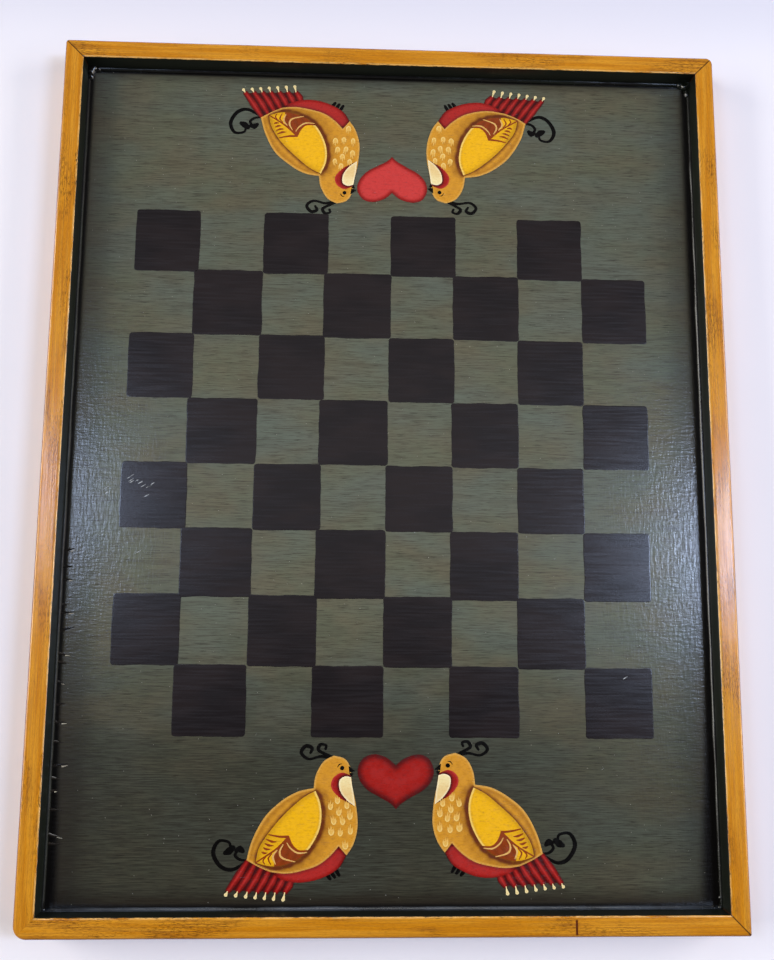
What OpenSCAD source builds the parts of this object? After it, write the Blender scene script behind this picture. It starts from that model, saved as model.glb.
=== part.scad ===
// Wooden checkerboard tray: a plywood playing panel inside a mitred, glued and bradded
// pine frame, painted with an 8 by 8 grid and a heart with a pair of birds at each end.
// The origin is the middle of the underside; X runs across the board, Y along it, Z up.

/* [Board] */
// Width of the board over the frame
board_w = 391; // [340:1:480]
// Length of the board over the frame
board_l = 508; // [420:1:640]
// Thickness of the plywood panel
panel_t = 9.5; // [6:0.5:16]
// Depth of the playing face below the top of the frame
recess_d = 12.7; // [8:0.1:20]

/* [Frame] */
// Width of a frame rail, seen from above
rail_w = 11.3; // [8:0.1:18]
// Radius of the four upright corners of the frame
corner_r = 3.5; // [1:0.5:7]
// Radius worn on the outer top edge of a rail
outer_edge_r = 1.6; // [0.5:0.1:3]
// Radius worn on the inner top edge of a rail
inner_edge_r = 0.8; // [0.3:0.1:2]
// Radius of the quarter-round bead of filler along the foot of the frame's inner wall
bead_w = 2; // [1:0.1:3]

/* [Brads] */
// Diameter of a brad's shank
brad_d = 1.2; // [0.8:0.1:1.8]
// Length of a brad
brad_len = 22; // [18:1:30]
// Depth that a brad's head is set below the face of the rail
brad_set = 1.6; // [1:0.1:3]
// Number of brads through each long rail into the panel
long_rail_brads = 5; // [2:1:9]
// Number of brads through each short rail into the panel
short_rail_brads = 4; // [2:1:7]

/* [Painting] */
// Border between the grid and the long rails
side_border = 31.8; // [20:0.1:45]
// Radius that the brush leaves at the corners of a dark square
square_r = 1.2; // [0.4:0.1:4]
// Thickness of one film of paint
film_t = 0.2; // [0.1:0.05:0.4]
// Gap between the grid and the birds' crests
crest_gap = 1; // [0.5:0.5:4]
// Gap between the tail tips and the end rails
tail_gap = 7.3; // [3:0.1:12]
// How far right of the middle the bottom pair is painted
bottom_pair_x = 4.6; // [-8:0.1:8]
// How far right of the middle the top pair is painted
top_pair_x = 0.4; // [-8:0.1:8]

/* [Hidden] */

CELLS = 8;
BRAD_HEAD_D = 2;
BRAD_HEAD_T = 0.8;
// Room round a brad's shank in its hole, and round the head in its pocket
BRAD_FIT = 0.05;
// Longer than any cut needs
THROUGH = 1;

rail_h = panel_t + recess_d;
inner_w = board_w - 2 * rail_w;
inner_l = board_l - 2 * rail_w;
cell = (inner_w - 2 * side_border) / CELLS;
grid_half = CELLS * cell / 2;
end_band = inner_l / 2 - grid_half;

// The motif is drawn for a beak at y = 0 and a heart on x = 0, with these limits,
// and is scaled as one drawing to the end band and to half the panel's width.
CREST_H = 16;
TAIL_DEPTH = 66;
MOTIF_REACH = 100;
REACH_GAP = 20;
motif_s = min((end_band - crest_gap - tail_gap) / (CREST_H + TAIL_DEPTH),
              (inner_w / 2 - REACH_GAP) / MOTIF_REACH);
beak_y = grid_half + crest_gap + CREST_H * motif_s;
BEAK_TIP = [22, 0];
// Each bird: turned end (0 bottom, 180 top), side (1 right, -1 left), tilt about its beak
BIRDS = [[0, 1, 0], [0, -1, 2], [180, -1, -1], [180, 1, 1]];

FEATHERS = 7;
WOOD = "#c98a2e";
PLY = "#4c4a40";
BLACK = "#26221f";
RED = "#a3241d";
OCHRE = "#d3942c";
YELLOW = "#e3ac12";
CREAM = "#eddc9c";
BROWN = "#843a10";
STEEL = "#9a9a98";

// ---- curves -------------------------------------------------------------------------

// Point at t of the smooth curve through four points, between the second and third
function between(a, b, c, d, t) =
    0.5 * (2 * b + (c - a) * t + (2 * a - 5 * b + 4 * c - d) * t * t
           + (3 * b - a - 3 * c + d) * t * t * t);

// Smooth open curve through the points p, without its last point, n steps a span
function curve(p, n = 4) =
    [for (i = [0 : len(p) - 2], k = [0 : n - 1])
        between(p[max(i - 1, 0)], p[i], p[i + 1], p[min(i + 2, len(p) - 1)], k / n)];

function last(p) = p[len(p) - 1];

function unit(v) = v / norm(v);

// Steps in the round end of a stroke
CAP_STEPS = 5;

// Brush stroke along a smooth curve, its width going from w0 to w1, with round ends
module stroke(p, w0, w1, n = 4) {
    c = concat(curve(p, n), [last(p)]);
    m = len(c) - 1;
    along = [for (i = [0 : m]) unit(c[min(i + 1, m)] - c[max(i - 1, 0)])];
    left = [for (d = along) [-d[1], d[0]]];
    half = [for (i = [0 : m]) (w0 + (w1 - w0) * i / m) / 2];
    end_arc = [for (k = [1 : CAP_STEPS - 1]) 180 * k / CAP_STEPS];
    polygon(concat(
        [for (i = [0 : m]) c[i] + left[i] * half[i]],
        [for (a = end_arc) c[m] + (left[m] * cos(a) + along[m] * sin(a)) * half[m]],
        [for (i = [m : -1 : 0]) c[i] - left[i] * half[i]],
        [for (a = end_arc) c[0] - (left[0] * cos(a) + along[0] * sin(a)) * half[0]]));
}

// ---- frame --------------------------------------------------------------------------

module corner_cut(r) {
    difference() {
        square(r + THROUGH);
        circle(r, $fn = 48);
    }
}

// Section of a rail: x from the outer face inwards, y up
module rail_section() {
    difference() {
        square([rail_w, rail_h]);
        translate([outer_edge_r, rail_h - outer_edge_r]) mirror([1, 0]) corner_cut(outer_edge_r);
        translate([rail_w - inner_edge_r, rail_h - inner_edge_r]) corner_cut(inner_edge_r);
    }
}

// Section of the filler bead: a quarter round, x from the inner wall inwards, y up
module bead_section() {
    intersection() {
        square(bead_w);
        circle(bead_w, $fn = 48);
    }
}

// A bar of a section along x, mitred at both ends, its outer face on y = 0
module mitred_bar(length, width, height) {
    intersection() {
        rotate([90, 0, 90]) linear_extrude(length) children();
        linear_extrude(height)
            polygon([[0, 0], [length, 0], [length - width, width], [width, width]]);
    }
}

// Places a bar of one of the four sides of an outline w by l, its length along that side
module on_side(side, w, l) {
    turn = [0, 90, 180, 270][side];
    length = side % 2 == 0 ? w : l;
    reach = side % 2 == 0 ? l : w;
    rotate(turn) translate([-length / 2, -reach / 2]) children();
}

module frame_outline() {
    for (sx = [-1, 1], sy = [-1, 1])
        translate([sx * (board_w / 2 - corner_r), sy * (board_l / 2 - corner_r)])
            circle(corner_r, $fn = 48);
    square([board_w - 2 * corner_r, board_l], center = true);
    square([board_w, board_l - 2 * corner_r], center = true);
}

BOTTOM = 0;
RIGHT = 1;
TOP = 2;
LEFT = 3;

module rail(side) {
    length = side % 2 == 0 ? board_w : board_l;
    color(WOOD) difference() {
        intersection() {
            on_side(side, board_w, board_l) mitred_bar(length, rail_w, rail_h) rail_section();
            linear_extrude(rail_h) frame_outline();
        }
        corner_places() brad_hole();
        panel_places() brad_hole();
    }
}

module bead(side) {
    length = side % 2 == 0 ? inner_w : inner_l;
    color(BLACK) translate([0, 0, panel_t])
        on_side(side, inner_w, inner_l) mitred_bar(length, bead_w, bead_w) bead_section();
}

module panel() {
    color(PLY) difference() {
        translate([-inner_w / 2, -inner_l / 2, 0]) cube([inner_w, inner_l, panel_t]);
        panel_places() brad_hole();
    }
}

// ---- brads, drawn along +x from the outer face of a rail ----------------------------

module brad() {
    translate([brad_set, 0, 0]) rotate([0, 90, 0]) cylinder(d = BRAD_HEAD_D, h = BRAD_HEAD_T, $fn = 32);
    translate([brad_set + BRAD_HEAD_T, 0, 0]) rotate([0, 90, 0])
        cylinder(d = brad_d, h = brad_len - BRAD_HEAD_T, $fn = 32);
}

module brad_hole() {
    translate([-THROUGH, 0, 0]) rotate([0, 90, 0])
        cylinder(d = BRAD_HEAD_D + 2 * BRAD_FIT, h = THROUGH + brad_set + BRAD_HEAD_T, $fn = 32);
    rotate([0, 90, 0]) cylinder(d = brad_d + 2 * BRAD_FIT, h = brad_set + brad_len + BRAD_FIT, $fn = 32);
}

module putty_plug() {
    rotate([0, 90, 0]) cylinder(d = BRAD_HEAD_D + 2 * BRAD_FIT, h = brad_set, $fn = 32);
}

// Two brads a corner, driven through the long rail and the mitre into the short rail
module corner_places() {
    for (sx = [-1, 1], sy = [-1, 1], z = [0.3, 0.75])
        translate([sx * board_w / 2, sy * (board_l - rail_w) / 2, z * rail_h])
            rotate(sx < 0 ? 0 : 180) children();
}

// Brads through the rails into the middle of the panel's edges, evenly spaced
module panel_places() {
    for (sx = [-1, 1], i = [1 : long_rail_brads])
        translate([sx * board_w / 2, (i / (long_rail_brads + 1) - 0.5) * inner_l, panel_t / 2])
            rotate(sx < 0 ? 0 : 180) children();
    for (sy = [-1, 1], i = [1 : short_rail_brads])
        translate([(i / (short_rail_brads + 1) - 0.5) * inner_w, sy * board_l / 2, panel_t / 2])
            rotate(sy < 0 ? 90 : 270) children();
}

module corner_brads() {
    color(STEEL) corner_places() brad();
}

module panel_brads() {
    color(STEEL) panel_places() brad();
}

module putty_plugs() {
    color(WOOD) {
        corner_places() putty_plug();
        panel_places() putty_plug();
    }
}

// ---- paint --------------------------------------------------------------------------

// A film of paint that lies on the panel, or on the films of the layers below it
module film(layer = 0) {
    translate([0, 0, panel_t + layer * film_t]) linear_extrude(film_t) children();
}

module dark_square() {
    reach = cell / 2 - square_r;
    for (sx = [-1, 1], sy = [-1, 1])
        translate([sx * reach, sy * reach]) circle(square_r, $fn = 24);
    square([cell, 2 * reach], center = true);
    square([2 * reach, cell], center = true);
}

module dark_squares() {
    color(BLACK) film()
        for (col = [0 : CELLS - 1], row = [0 : CELLS - 1])
            if ((col + row) % 2 == 1)
                translate([(col + 0.5) * cell - grid_half, (row + 0.5) * cell - grid_half])
                    dark_square();
}

module at_pair(end) {
    translate([end == 0 ? bottom_pair_x : top_pair_x, end == 0 ? -beak_y : beak_y])
        rotate(end) scale(motif_s) children();
}

module each_bird() {
    for (b = BIRDS)
        at_pair(b[0]) mirror([b[1] * (b[0] == 0 ? 1 : -1) < 0 ? 1 : 0, 0])
            translate(BEAK_TIP) rotate(b[2]) translate(-BEAK_TIP) children();
}

// Half of the heart, from the cleft over the lobe to the point
HEART_HALF = [[0, 2], [5, 6], [12, 8], [18, 6], [21, 0], [19.5, -6], [15, -11], [8, -15], [3, -18], [0, -21]];

module heart() {
    half = concat(curve(HEART_HALF), [last(HEART_HALF)]);
    polygon(concat(half, [for (i = [len(half) - 2 : -1 : 1]) [-half[i][0], half[i][1]]]));
}

// The bird faces left. Its body runs from the crown down the breast, up to the belly's
// point, along the belly to the tail, and back over the wing to the nape.
BREAST = [[33, 9], [27, 7], [24, 2], [23, -7], [21, -18], [20.5, -29], [23, -38], [27, -44]];
BELLY_TOP = [[31, -39], [36, -44], [43, -48.5], [52, -51], [60, -52], [68, -51]];
RUMP = [[68, -51], [75, -48], [81, -44.5]];
BACK = [[81, -44.5], [78, -34], [71, -22], [62, -14], [53, -9.5], [44, -8]];
NAPE = [[44, -8], [43, -1], [39, 6], [33, 9]];
BELLY_BOTTOM = [[27, -44], [31, -50], [38, -54], [46, -56.5], [54, -57], [62, -55], [68, -51]];

module body_outline() {
    polygon(concat(curve(BREAST), [last(BREAST)], curve(BELLY_TOP), curve(RUMP), curve(BACK), curve(NAPE)));
}

module belly_outline() {
    difference() {
        polygon(concat(curve(BELLY_BOTTOM), [last(BELLY_BOTTOM), [60, -48], [44, -40], BELLY_TOP[0]]));
        body_outline();
    }
}

// Feather roots and tips lie on two straight lines
function feather_root(i) = [56.5 + 3.9 * i, -55 + 1.8 * i];
function feather_tip(i) = [59.3 + 5.1 * i, -59.4 + 0.3 * i];
FEATHER_ROOT_W = 3.6;
FEATHER_TIP_W = 4.3;

module tail_outline() {
    difference() {
        for (i = [0 : FEATHERS - 1])
            stroke([feather_root(i), (feather_root(i) + feather_tip(i)) / 2, feather_tip(i)],
                   FEATHER_ROOT_W, FEATHER_TIP_W, 2);
        body_outline();
        belly_outline();
    }
}

module tip_marks() {
    difference() {
        for (i = [0 : FEATHERS - 1]) {
            top = feather_tip(i) + [0.7, -1.8];
            stroke([top, top + [0.6, -1.6], top + [1, -3.2]], 0.8, 1.7, 2);
        }
        tail_outline();
    }
}

WING_FRONT = [[43, -9.5], [40.6, -16], [40.2, -23], [42, -31], [47, -39.5], [53, -44.5]];
WING_UNDER = [[53, -44.5], [60, -47.2], [68, -48], [76, -46]];
WING_TOP = [[76, -46], [74, -38], [67, -28], [59, -20], [50, -13], [43, -9.5]];

module wing_outline() {
    polygon(concat(curve(WING_FRONT), curve(WING_UNDER), curve(WING_TOP)));
}

// Dark patch at the end of the wing, under a diagonal from the notch to the wing's tip,
// and the rim and bars of the pale panel above that diagonal
NOTCH = [58.5, -33];
PATCH_TOP = [[48, -40.6], [53, -40.5], [56.5, -37.5], NOTCH];
RIM_END = [69, -31.5];

module patch_outline() {
    intersection() {
        union() {
            polygon(concat(curve(PATCH_TOP), [NOTCH, [76, -46], [70, -50], [52, -50]]));
            stroke([NOTCH, [64, -32.6], RIM_END], 0.8, 0.8, 2);
            for (k = [0 : 3])
                stroke([[67 + 1.4 * k, -35 - 2.1 * k], [69 + 1.2 * k, -35.8 - 2.1 * k],
                        [71 + 0.9 * k, -35.2 - 2.1 * k]], 0.9, 0.6, 2);
        }
        wing_outline();
    }
}

module scallop_outline() {
    intersection() {
        for (k = [0 : 2]) {
            foot = [58 + 4.6 * k, -45.6 - 0.4 * k];
            stroke([foot + [-3.2 + 0.5 * k, 0.3], foot, foot + [2.2, 1.6], foot + [2.6, 4.2 - 1.1 * k]],
                   0.9, 0.6, 3);
        }
        patch_outline();
    }
}

CHEEK_TOP = [[20, -3], [26, -2.4], [30, -4.5], [29.5, -10], [26, -15], [19, -21]];
BIB_OUT = [[22, -2], [29, -0.2], [33.5, -3], [34.3, -8], [30, -13.5], [23, -18.5]];

module cheek_outline() {
    intersection() {
        polygon(concat(curve(CHEEK_TOP), [last(CHEEK_TOP)]));
        body_outline();
    }
}

module bib_outline() {
    intersection() {
        difference() {
            polygon(concat(curve(BIB_OUT), [last(BIB_OUT)]));
            polygon(concat(curve(CHEEK_TOP), [last(CHEEK_TOP)]));
        }
        body_outline();
    }
}

// Dabs of the brush in staggered rows down the breast, with one below them
DAB_PITCH = [5.2, 5];
DAB_TOP = [24.6, -20];
DAB_LOW = [26.4, -38.4];

module dab_marks() {
    places = concat([DAB_LOW], [for (row = [0 : 3], col = [0 : 2 - row % 2])
        DAB_TOP + [DAB_PITCH[0] * (col + (row % 2) / 2), -DAB_PITCH[1] * row]]);
    intersection() {
        for (place = places)
            translate(place) stroke([[0, 1.6], [0, 0], [0, -1]], 0.9, 3, 2);
        body_outline();
    }
}

EYE = [28.5, 1.8];

module eye_mark() {
    translate(EYE) circle(1.3, $fn = 24);
}

module beak_outline() {
    difference() {
        union() {
            polygon([[25, 3.4], BEAK_TIP + [0, 0.2], [25, -0.4]]);
            polygon([[25, -0.7], BEAK_TIP + [1, -0.7], [24.5, -4]]);
        }
        body_outline();
    }
}

module leg_marks() {
    difference() {
        for (i = [0 : 2])
            stroke([[33.5 + 2.6 * i, -50.5 - i], [31.5 + 2.6 * i, -51.7 - 0.8 * i],
                    [29.4 + 2.6 * i, -54.2 - 0.5 * i]], 0.9, 1.2, 2);
        belly_outline();
        body_outline();
    }
}

module tail_curl_outline() {
    difference() {
        union() {
            stroke([[84, -46.5], [89, -49.3], [95, -47], [98.8, -40], [96, -34], [90.5, -34.5], [89.5, -38]],
                   1.6, 1);
            stroke([[81, -44.5], [84.5, -44], [87, -41.5], [85.8, -39]], 0.9, 1);
            translate([90.5, -39.2]) circle(2, $fn = 24);
            translate([84.3, -38.7]) circle(1.7, $fn = 24);
        }
        tail_outline();
        body_outline();
    }
}

module crest_curl_outline() {
    difference() {
        union() {
            stroke([[33, 8.5], [38, 10.2], [41.5, 12.5], [40, 15.2], [37, 14.6], [37.4, 12.8]], 1, 0.9);
            stroke([[33, 8.5], [40, 9], [47, 7.8], [51, 11], [48.5, 14.5], [45, 13.5], [46, 11]], 1, 0.9);
        }
        body_outline();
    }
}

module hearts() {
    color(RED) film() for (end = [0, 180]) at_pair(end) heart();
}

module bird_bodies() {
    color(OCHRE) film() each_bird() body_outline();
}

module bird_bellies() {
    color(RED) film() each_bird() belly_outline();
}

module bird_tails() {
    color(RED) film() each_bird() tail_outline();
}

module tail_tips() {
    color(CREAM) film() each_bird() tip_marks();
}

module tail_curls() {
    color(BLACK) film() each_bird() tail_curl_outline();
}

module crest_curls() {
    color(BLACK) film() each_bird() crest_curl_outline();
}

module bird_legs() {
    color(BLACK) film() each_bird() leg_marks();
}

module bird_beaks() {
    color(BLACK) film() each_bird() beak_outline();
}

module bird_wings() {
    color(YELLOW) film(1) each_bird() wing_outline();
}

module bird_bibs() {
    color(RED) film(1) each_bird() bib_outline();
}

module bird_cheeks() {
    color(CREAM) film(1) each_bird() cheek_outline();
}

module bird_eyes() {
    color(BLACK) film(1) each_bird() eye_mark();
}

module breast_feathers() {
    color(CREAM) film(1) each_bird() dab_marks();
}

module wing_patches() {
    color(BROWN) film(2) each_bird() patch_outline();
}

module wing_scallops() {
    color(CREAM) film(3) each_bird() scallop_outline();
}

panel();
rail(LEFT);  // rail_left
rail(RIGHT);  // rail_right
rail(TOP);  // rail_top
rail(BOTTOM);  // rail_bottom
bead(LEFT);  // bead_left
bead(RIGHT);  // bead_right
bead(TOP);  // bead_top
bead(BOTTOM);  // bead_bottom
corner_brads();
panel_brads();
putty_plugs();
dark_squares();
hearts();
bird_bodies();
bird_bellies();
bird_tails();
tail_tips();
tail_curls();
crest_curls();
bird_legs();
bird_beaks();
bird_wings();
bird_bibs();
bird_cheeks();
bird_eyes();
breast_feathers();
wing_patches();
wing_scallops();
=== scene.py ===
"""Visual model of a hand-painted wooden checkerboard tray.

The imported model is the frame: every size and place comes from its nodes. The script is laid out
as an add-on, with one operator for each piece or group of like pieces, and is run as a script.
"""
import math
import random
from functools import partial

import bmesh
import bpy
import numpy as np
from mathutils import Matrix, Vector, noise
from mathutils.geometry import delaunay_2d_cdt


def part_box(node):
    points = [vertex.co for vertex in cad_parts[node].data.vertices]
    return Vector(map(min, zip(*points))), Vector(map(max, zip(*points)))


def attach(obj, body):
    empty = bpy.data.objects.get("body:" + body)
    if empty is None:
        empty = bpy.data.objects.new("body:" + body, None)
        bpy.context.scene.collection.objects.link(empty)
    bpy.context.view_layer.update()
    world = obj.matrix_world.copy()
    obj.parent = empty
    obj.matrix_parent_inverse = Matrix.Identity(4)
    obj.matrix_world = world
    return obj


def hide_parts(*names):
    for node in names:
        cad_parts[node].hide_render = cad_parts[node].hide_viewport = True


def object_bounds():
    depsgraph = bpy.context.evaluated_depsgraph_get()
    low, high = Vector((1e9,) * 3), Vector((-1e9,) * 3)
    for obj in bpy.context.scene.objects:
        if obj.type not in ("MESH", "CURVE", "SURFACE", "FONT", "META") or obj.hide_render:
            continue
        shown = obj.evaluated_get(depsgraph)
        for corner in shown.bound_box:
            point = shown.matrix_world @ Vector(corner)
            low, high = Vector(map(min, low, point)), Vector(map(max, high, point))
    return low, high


bl_info = {
    "name": "Checkerboard Tray",
    "version": (1, 0, 0),
    "blender": (4, 5, 0),
    "location": "View3D > Sidebar > Checkerboard",
    "description": "Builds the rails, panel, painted grid and birds of a checkerboard tray",
    "category": "Object",
}

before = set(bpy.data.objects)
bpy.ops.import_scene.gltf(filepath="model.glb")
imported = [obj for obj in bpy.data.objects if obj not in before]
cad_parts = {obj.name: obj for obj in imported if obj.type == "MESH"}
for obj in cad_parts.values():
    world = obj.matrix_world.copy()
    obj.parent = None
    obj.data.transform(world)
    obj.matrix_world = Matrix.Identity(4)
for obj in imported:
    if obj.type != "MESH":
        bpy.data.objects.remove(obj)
CAD_BOX = [list(corner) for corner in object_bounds()]
# The wander of painted edges comes from noise vectors, which this makes the same in every run
noise.seed_set(7)

MM = 0.001
# How near a face or edge lies to the plane that it is picked by
NEAR = 0.0001
HALF_W, HALF_L, RAIL_H = CAD_BOX[1]
RAIL_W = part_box("rail_right")[1].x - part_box("rail_right")[0].x
INNER_W, INNER_L = HALF_W - RAIL_W, HALF_L - RAIL_W
PANEL_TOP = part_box("panel")[1].z
BEAD_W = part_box("bead_right")[1].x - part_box("bead_right")[0].x
CELLS = 8
GRID_LO, GRID_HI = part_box("dark_squares")
CELL = (GRID_HI.x - GRID_LO.x) / CELLS
# Where the drying crack crosses the near rail
CRACK_X = 0.1008
RAIL_UV = "along_and_round"

# The motif is drawn in millimetres, with the heart on x = 0 and the beaks at y = 0
HEART_HALF_W, HEART_DEPTH = 21 * MM, 21 * MM
HEARTS_LO, HEARTS_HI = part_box("hearts")
BEAK_Y = HEARTS_HI.y - HEART_DEPTH
PAIR_X = {0: HEARTS_HI.x - HEART_HALF_W, 180: HEARTS_LO.x + HEART_HALF_W}


# ---- small helpers ------------------------------------------------------------------

def linear(hex_colour):
    """sRGB hex to a linear RGBA colour."""
    parts = [int(hex_colour[i:i + 2], 16) / 255 for i in (1, 3, 5)]
    return [p / 12.92 if p <= 0.04045 else ((p + 0.055) / 1.055) ** 2.4 for p in parts] + [1.0]


def start_piece(name):
    """Names the object that an operator has just added and opens it in edit mode."""
    piece = bpy.context.object
    piece.name = piece.data.name = name
    bpy.ops.object.transform_apply(location=True, rotation=True, scale=True)
    bpy.ops.object.mode_set(mode="EDIT")
    return piece


def block(name, lo, hi):
    """A box between two corners, open in edit mode."""
    bpy.ops.object.select_all(action="DESELECT")
    bpy.ops.mesh.primitive_cube_add(size=1, location=(lo + hi) / 2, scale=hi - lo)
    return start_piece(name)


def pick(kind, test):
    """Selects only the vertices, edges or faces of the open mesh that pass a test."""
    bpy.ops.mesh.select_mode(type=kind)
    bpy.ops.mesh.select_all(action="DESELECT")
    mesh = bmesh.from_edit_mesh(bpy.context.object.data)
    items = {"VERT": mesh.verts, "EDGE": mesh.edges, "FACE": mesh.faces}[kind]
    for item in items:
        if test(item):
            item.select_set(True)
    mesh.select_flush_mode()
    bmesh.update_edit_mesh(bpy.context.object.data)


def middle(edge):
    """The point halfway along an edge."""
    return (edge.verts[0].co + edge.verts[1].co) / 2


def runs_along(edge, axis, least=0.95):
    """True where an edge of some length runs along axis 0, 1 or 2."""
    way = edge.verts[1].co - edge.verts[0].co
    return way.length > 0 and abs(way[axis]) / way.length > least


def finish_piece(piece, material, stands_for=()):
    """Closes edit mode, gives the piece its material and ties it to the frame."""
    if bpy.context.object and bpy.context.object.mode == "EDIT":
        bpy.ops.object.mode_set(mode="OBJECT")
    if material.name not in piece.data.materials:
        piece.data.materials.append(material)
    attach(piece, "root")
    if stands_for:
        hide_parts(*stands_for)


def copy_of(piece, name):
    """A copy of a piece with a mesh of its own."""
    twin = piece.copy()
    twin.data = piece.data.copy()
    twin.name = twin.data.name = name
    bpy.context.collection.objects.link(twin)
    return twin


def select_only(*pieces):
    """Selects these pieces alone, the first one active."""
    bpy.ops.object.select_all(action="DESELECT")
    for piece in pieces:
        piece.select_set(True)
    bpy.context.view_layer.objects.active = pieces[0]


def join_as(name, pieces):
    """Joins pieces into one of this name."""
    select_only(*pieces)
    bpy.ops.object.join()
    joined = bpy.context.object
    joined.name = joined.data.name = name
    return joined


def smooth(piece, angle=35):
    """Shades a piece smooth over edges that turn less than the angle, in degrees."""
    select_only(piece)
    bpy.ops.object.shade_smooth_by_angle(angle=math.radians(angle))


def soft(value, low, high):
    """0 below low, 1 above high and a smooth step between."""
    t = np.clip((value - low) / (high - low), 0, 1)
    return t * t * (3 - 2 * t)


# ---- materials ----------------------------------------------------------------------

# The property that says what a node of a kind does: "Math.ADD" is a Math node set to ADD
MODES = {"Math": "operation", "VectorMath": "operation", "MapRange": "interpolation_type", "Mix": "data_type"}
# Maps a value smoothly from one range to another, by default 0 to 1, and holds it outside
RAMP = "MapRange.SMOOTHSTEP"
# Mixes two colours by a factor
BLEND = "Mix.RGBA"
VARNISH_IOR = 1.5


def add_node(tree, kind, *values, **settings):
    """Adds a node. The values, sockets or nodes given feed its inputs in their order, a keyword
    with a capital feeds the input of that name, and any other keyword sets a property."""
    kind, _, mode = kind.partition(".")
    node = tree.nodes.new("ShaderNode" + kind)
    if mode:
        setattr(node, MODES[kind], mode)
    for key, value in settings.items():
        if key[0].islower():
            setattr(node, key, value)
    feeds = list(zip([socket for socket in node.inputs if socket.enabled], values))
    feeds += [(node.inputs[key.replace("_", " ")], settings[key]) for key in settings if key[0].isupper()]
    for socket, value in feeds:
        if isinstance(value, bpy.types.Node):
            value = next(output for output in value.outputs if output.enabled)
        if isinstance(value, bpy.types.NodeSocket):
            tree.links.new(value, socket)
        else:
            socket.default_value = value
    return node


def new_material(name):
    """An empty material, and the function that adds nodes to it."""
    material = bpy.data.materials.new(name)
    material.use_nodes = True
    material.node_tree.nodes.clear()
    return material, partial(add_node, material.node_tree)


def streaks(add, vector, per_metre, detail=3.0, roughness=0.55):
    """Noise whose features are 1 / per_metre long along each axis, in metres."""
    scaled = add("Mapping", Vector=vector, Scale=per_metre)
    return add("TexNoise", Vector=scaled, Scale=1.0, Detail=detail, Roughness=roughness)


def close_material(add, colour, roughness, height, relief, **inputs):
    """Ends a material in a shader, with a bump of this height times the relief in metres."""
    bump = add("Bump", Strength=1.0, Distance=relief, Height=height)
    shader = add("BsdfPrincipled", Base_Color=colour, Roughness=roughness, Normal=bump, **inputs)
    add("OutputMaterial", Surface=shader)


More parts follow.
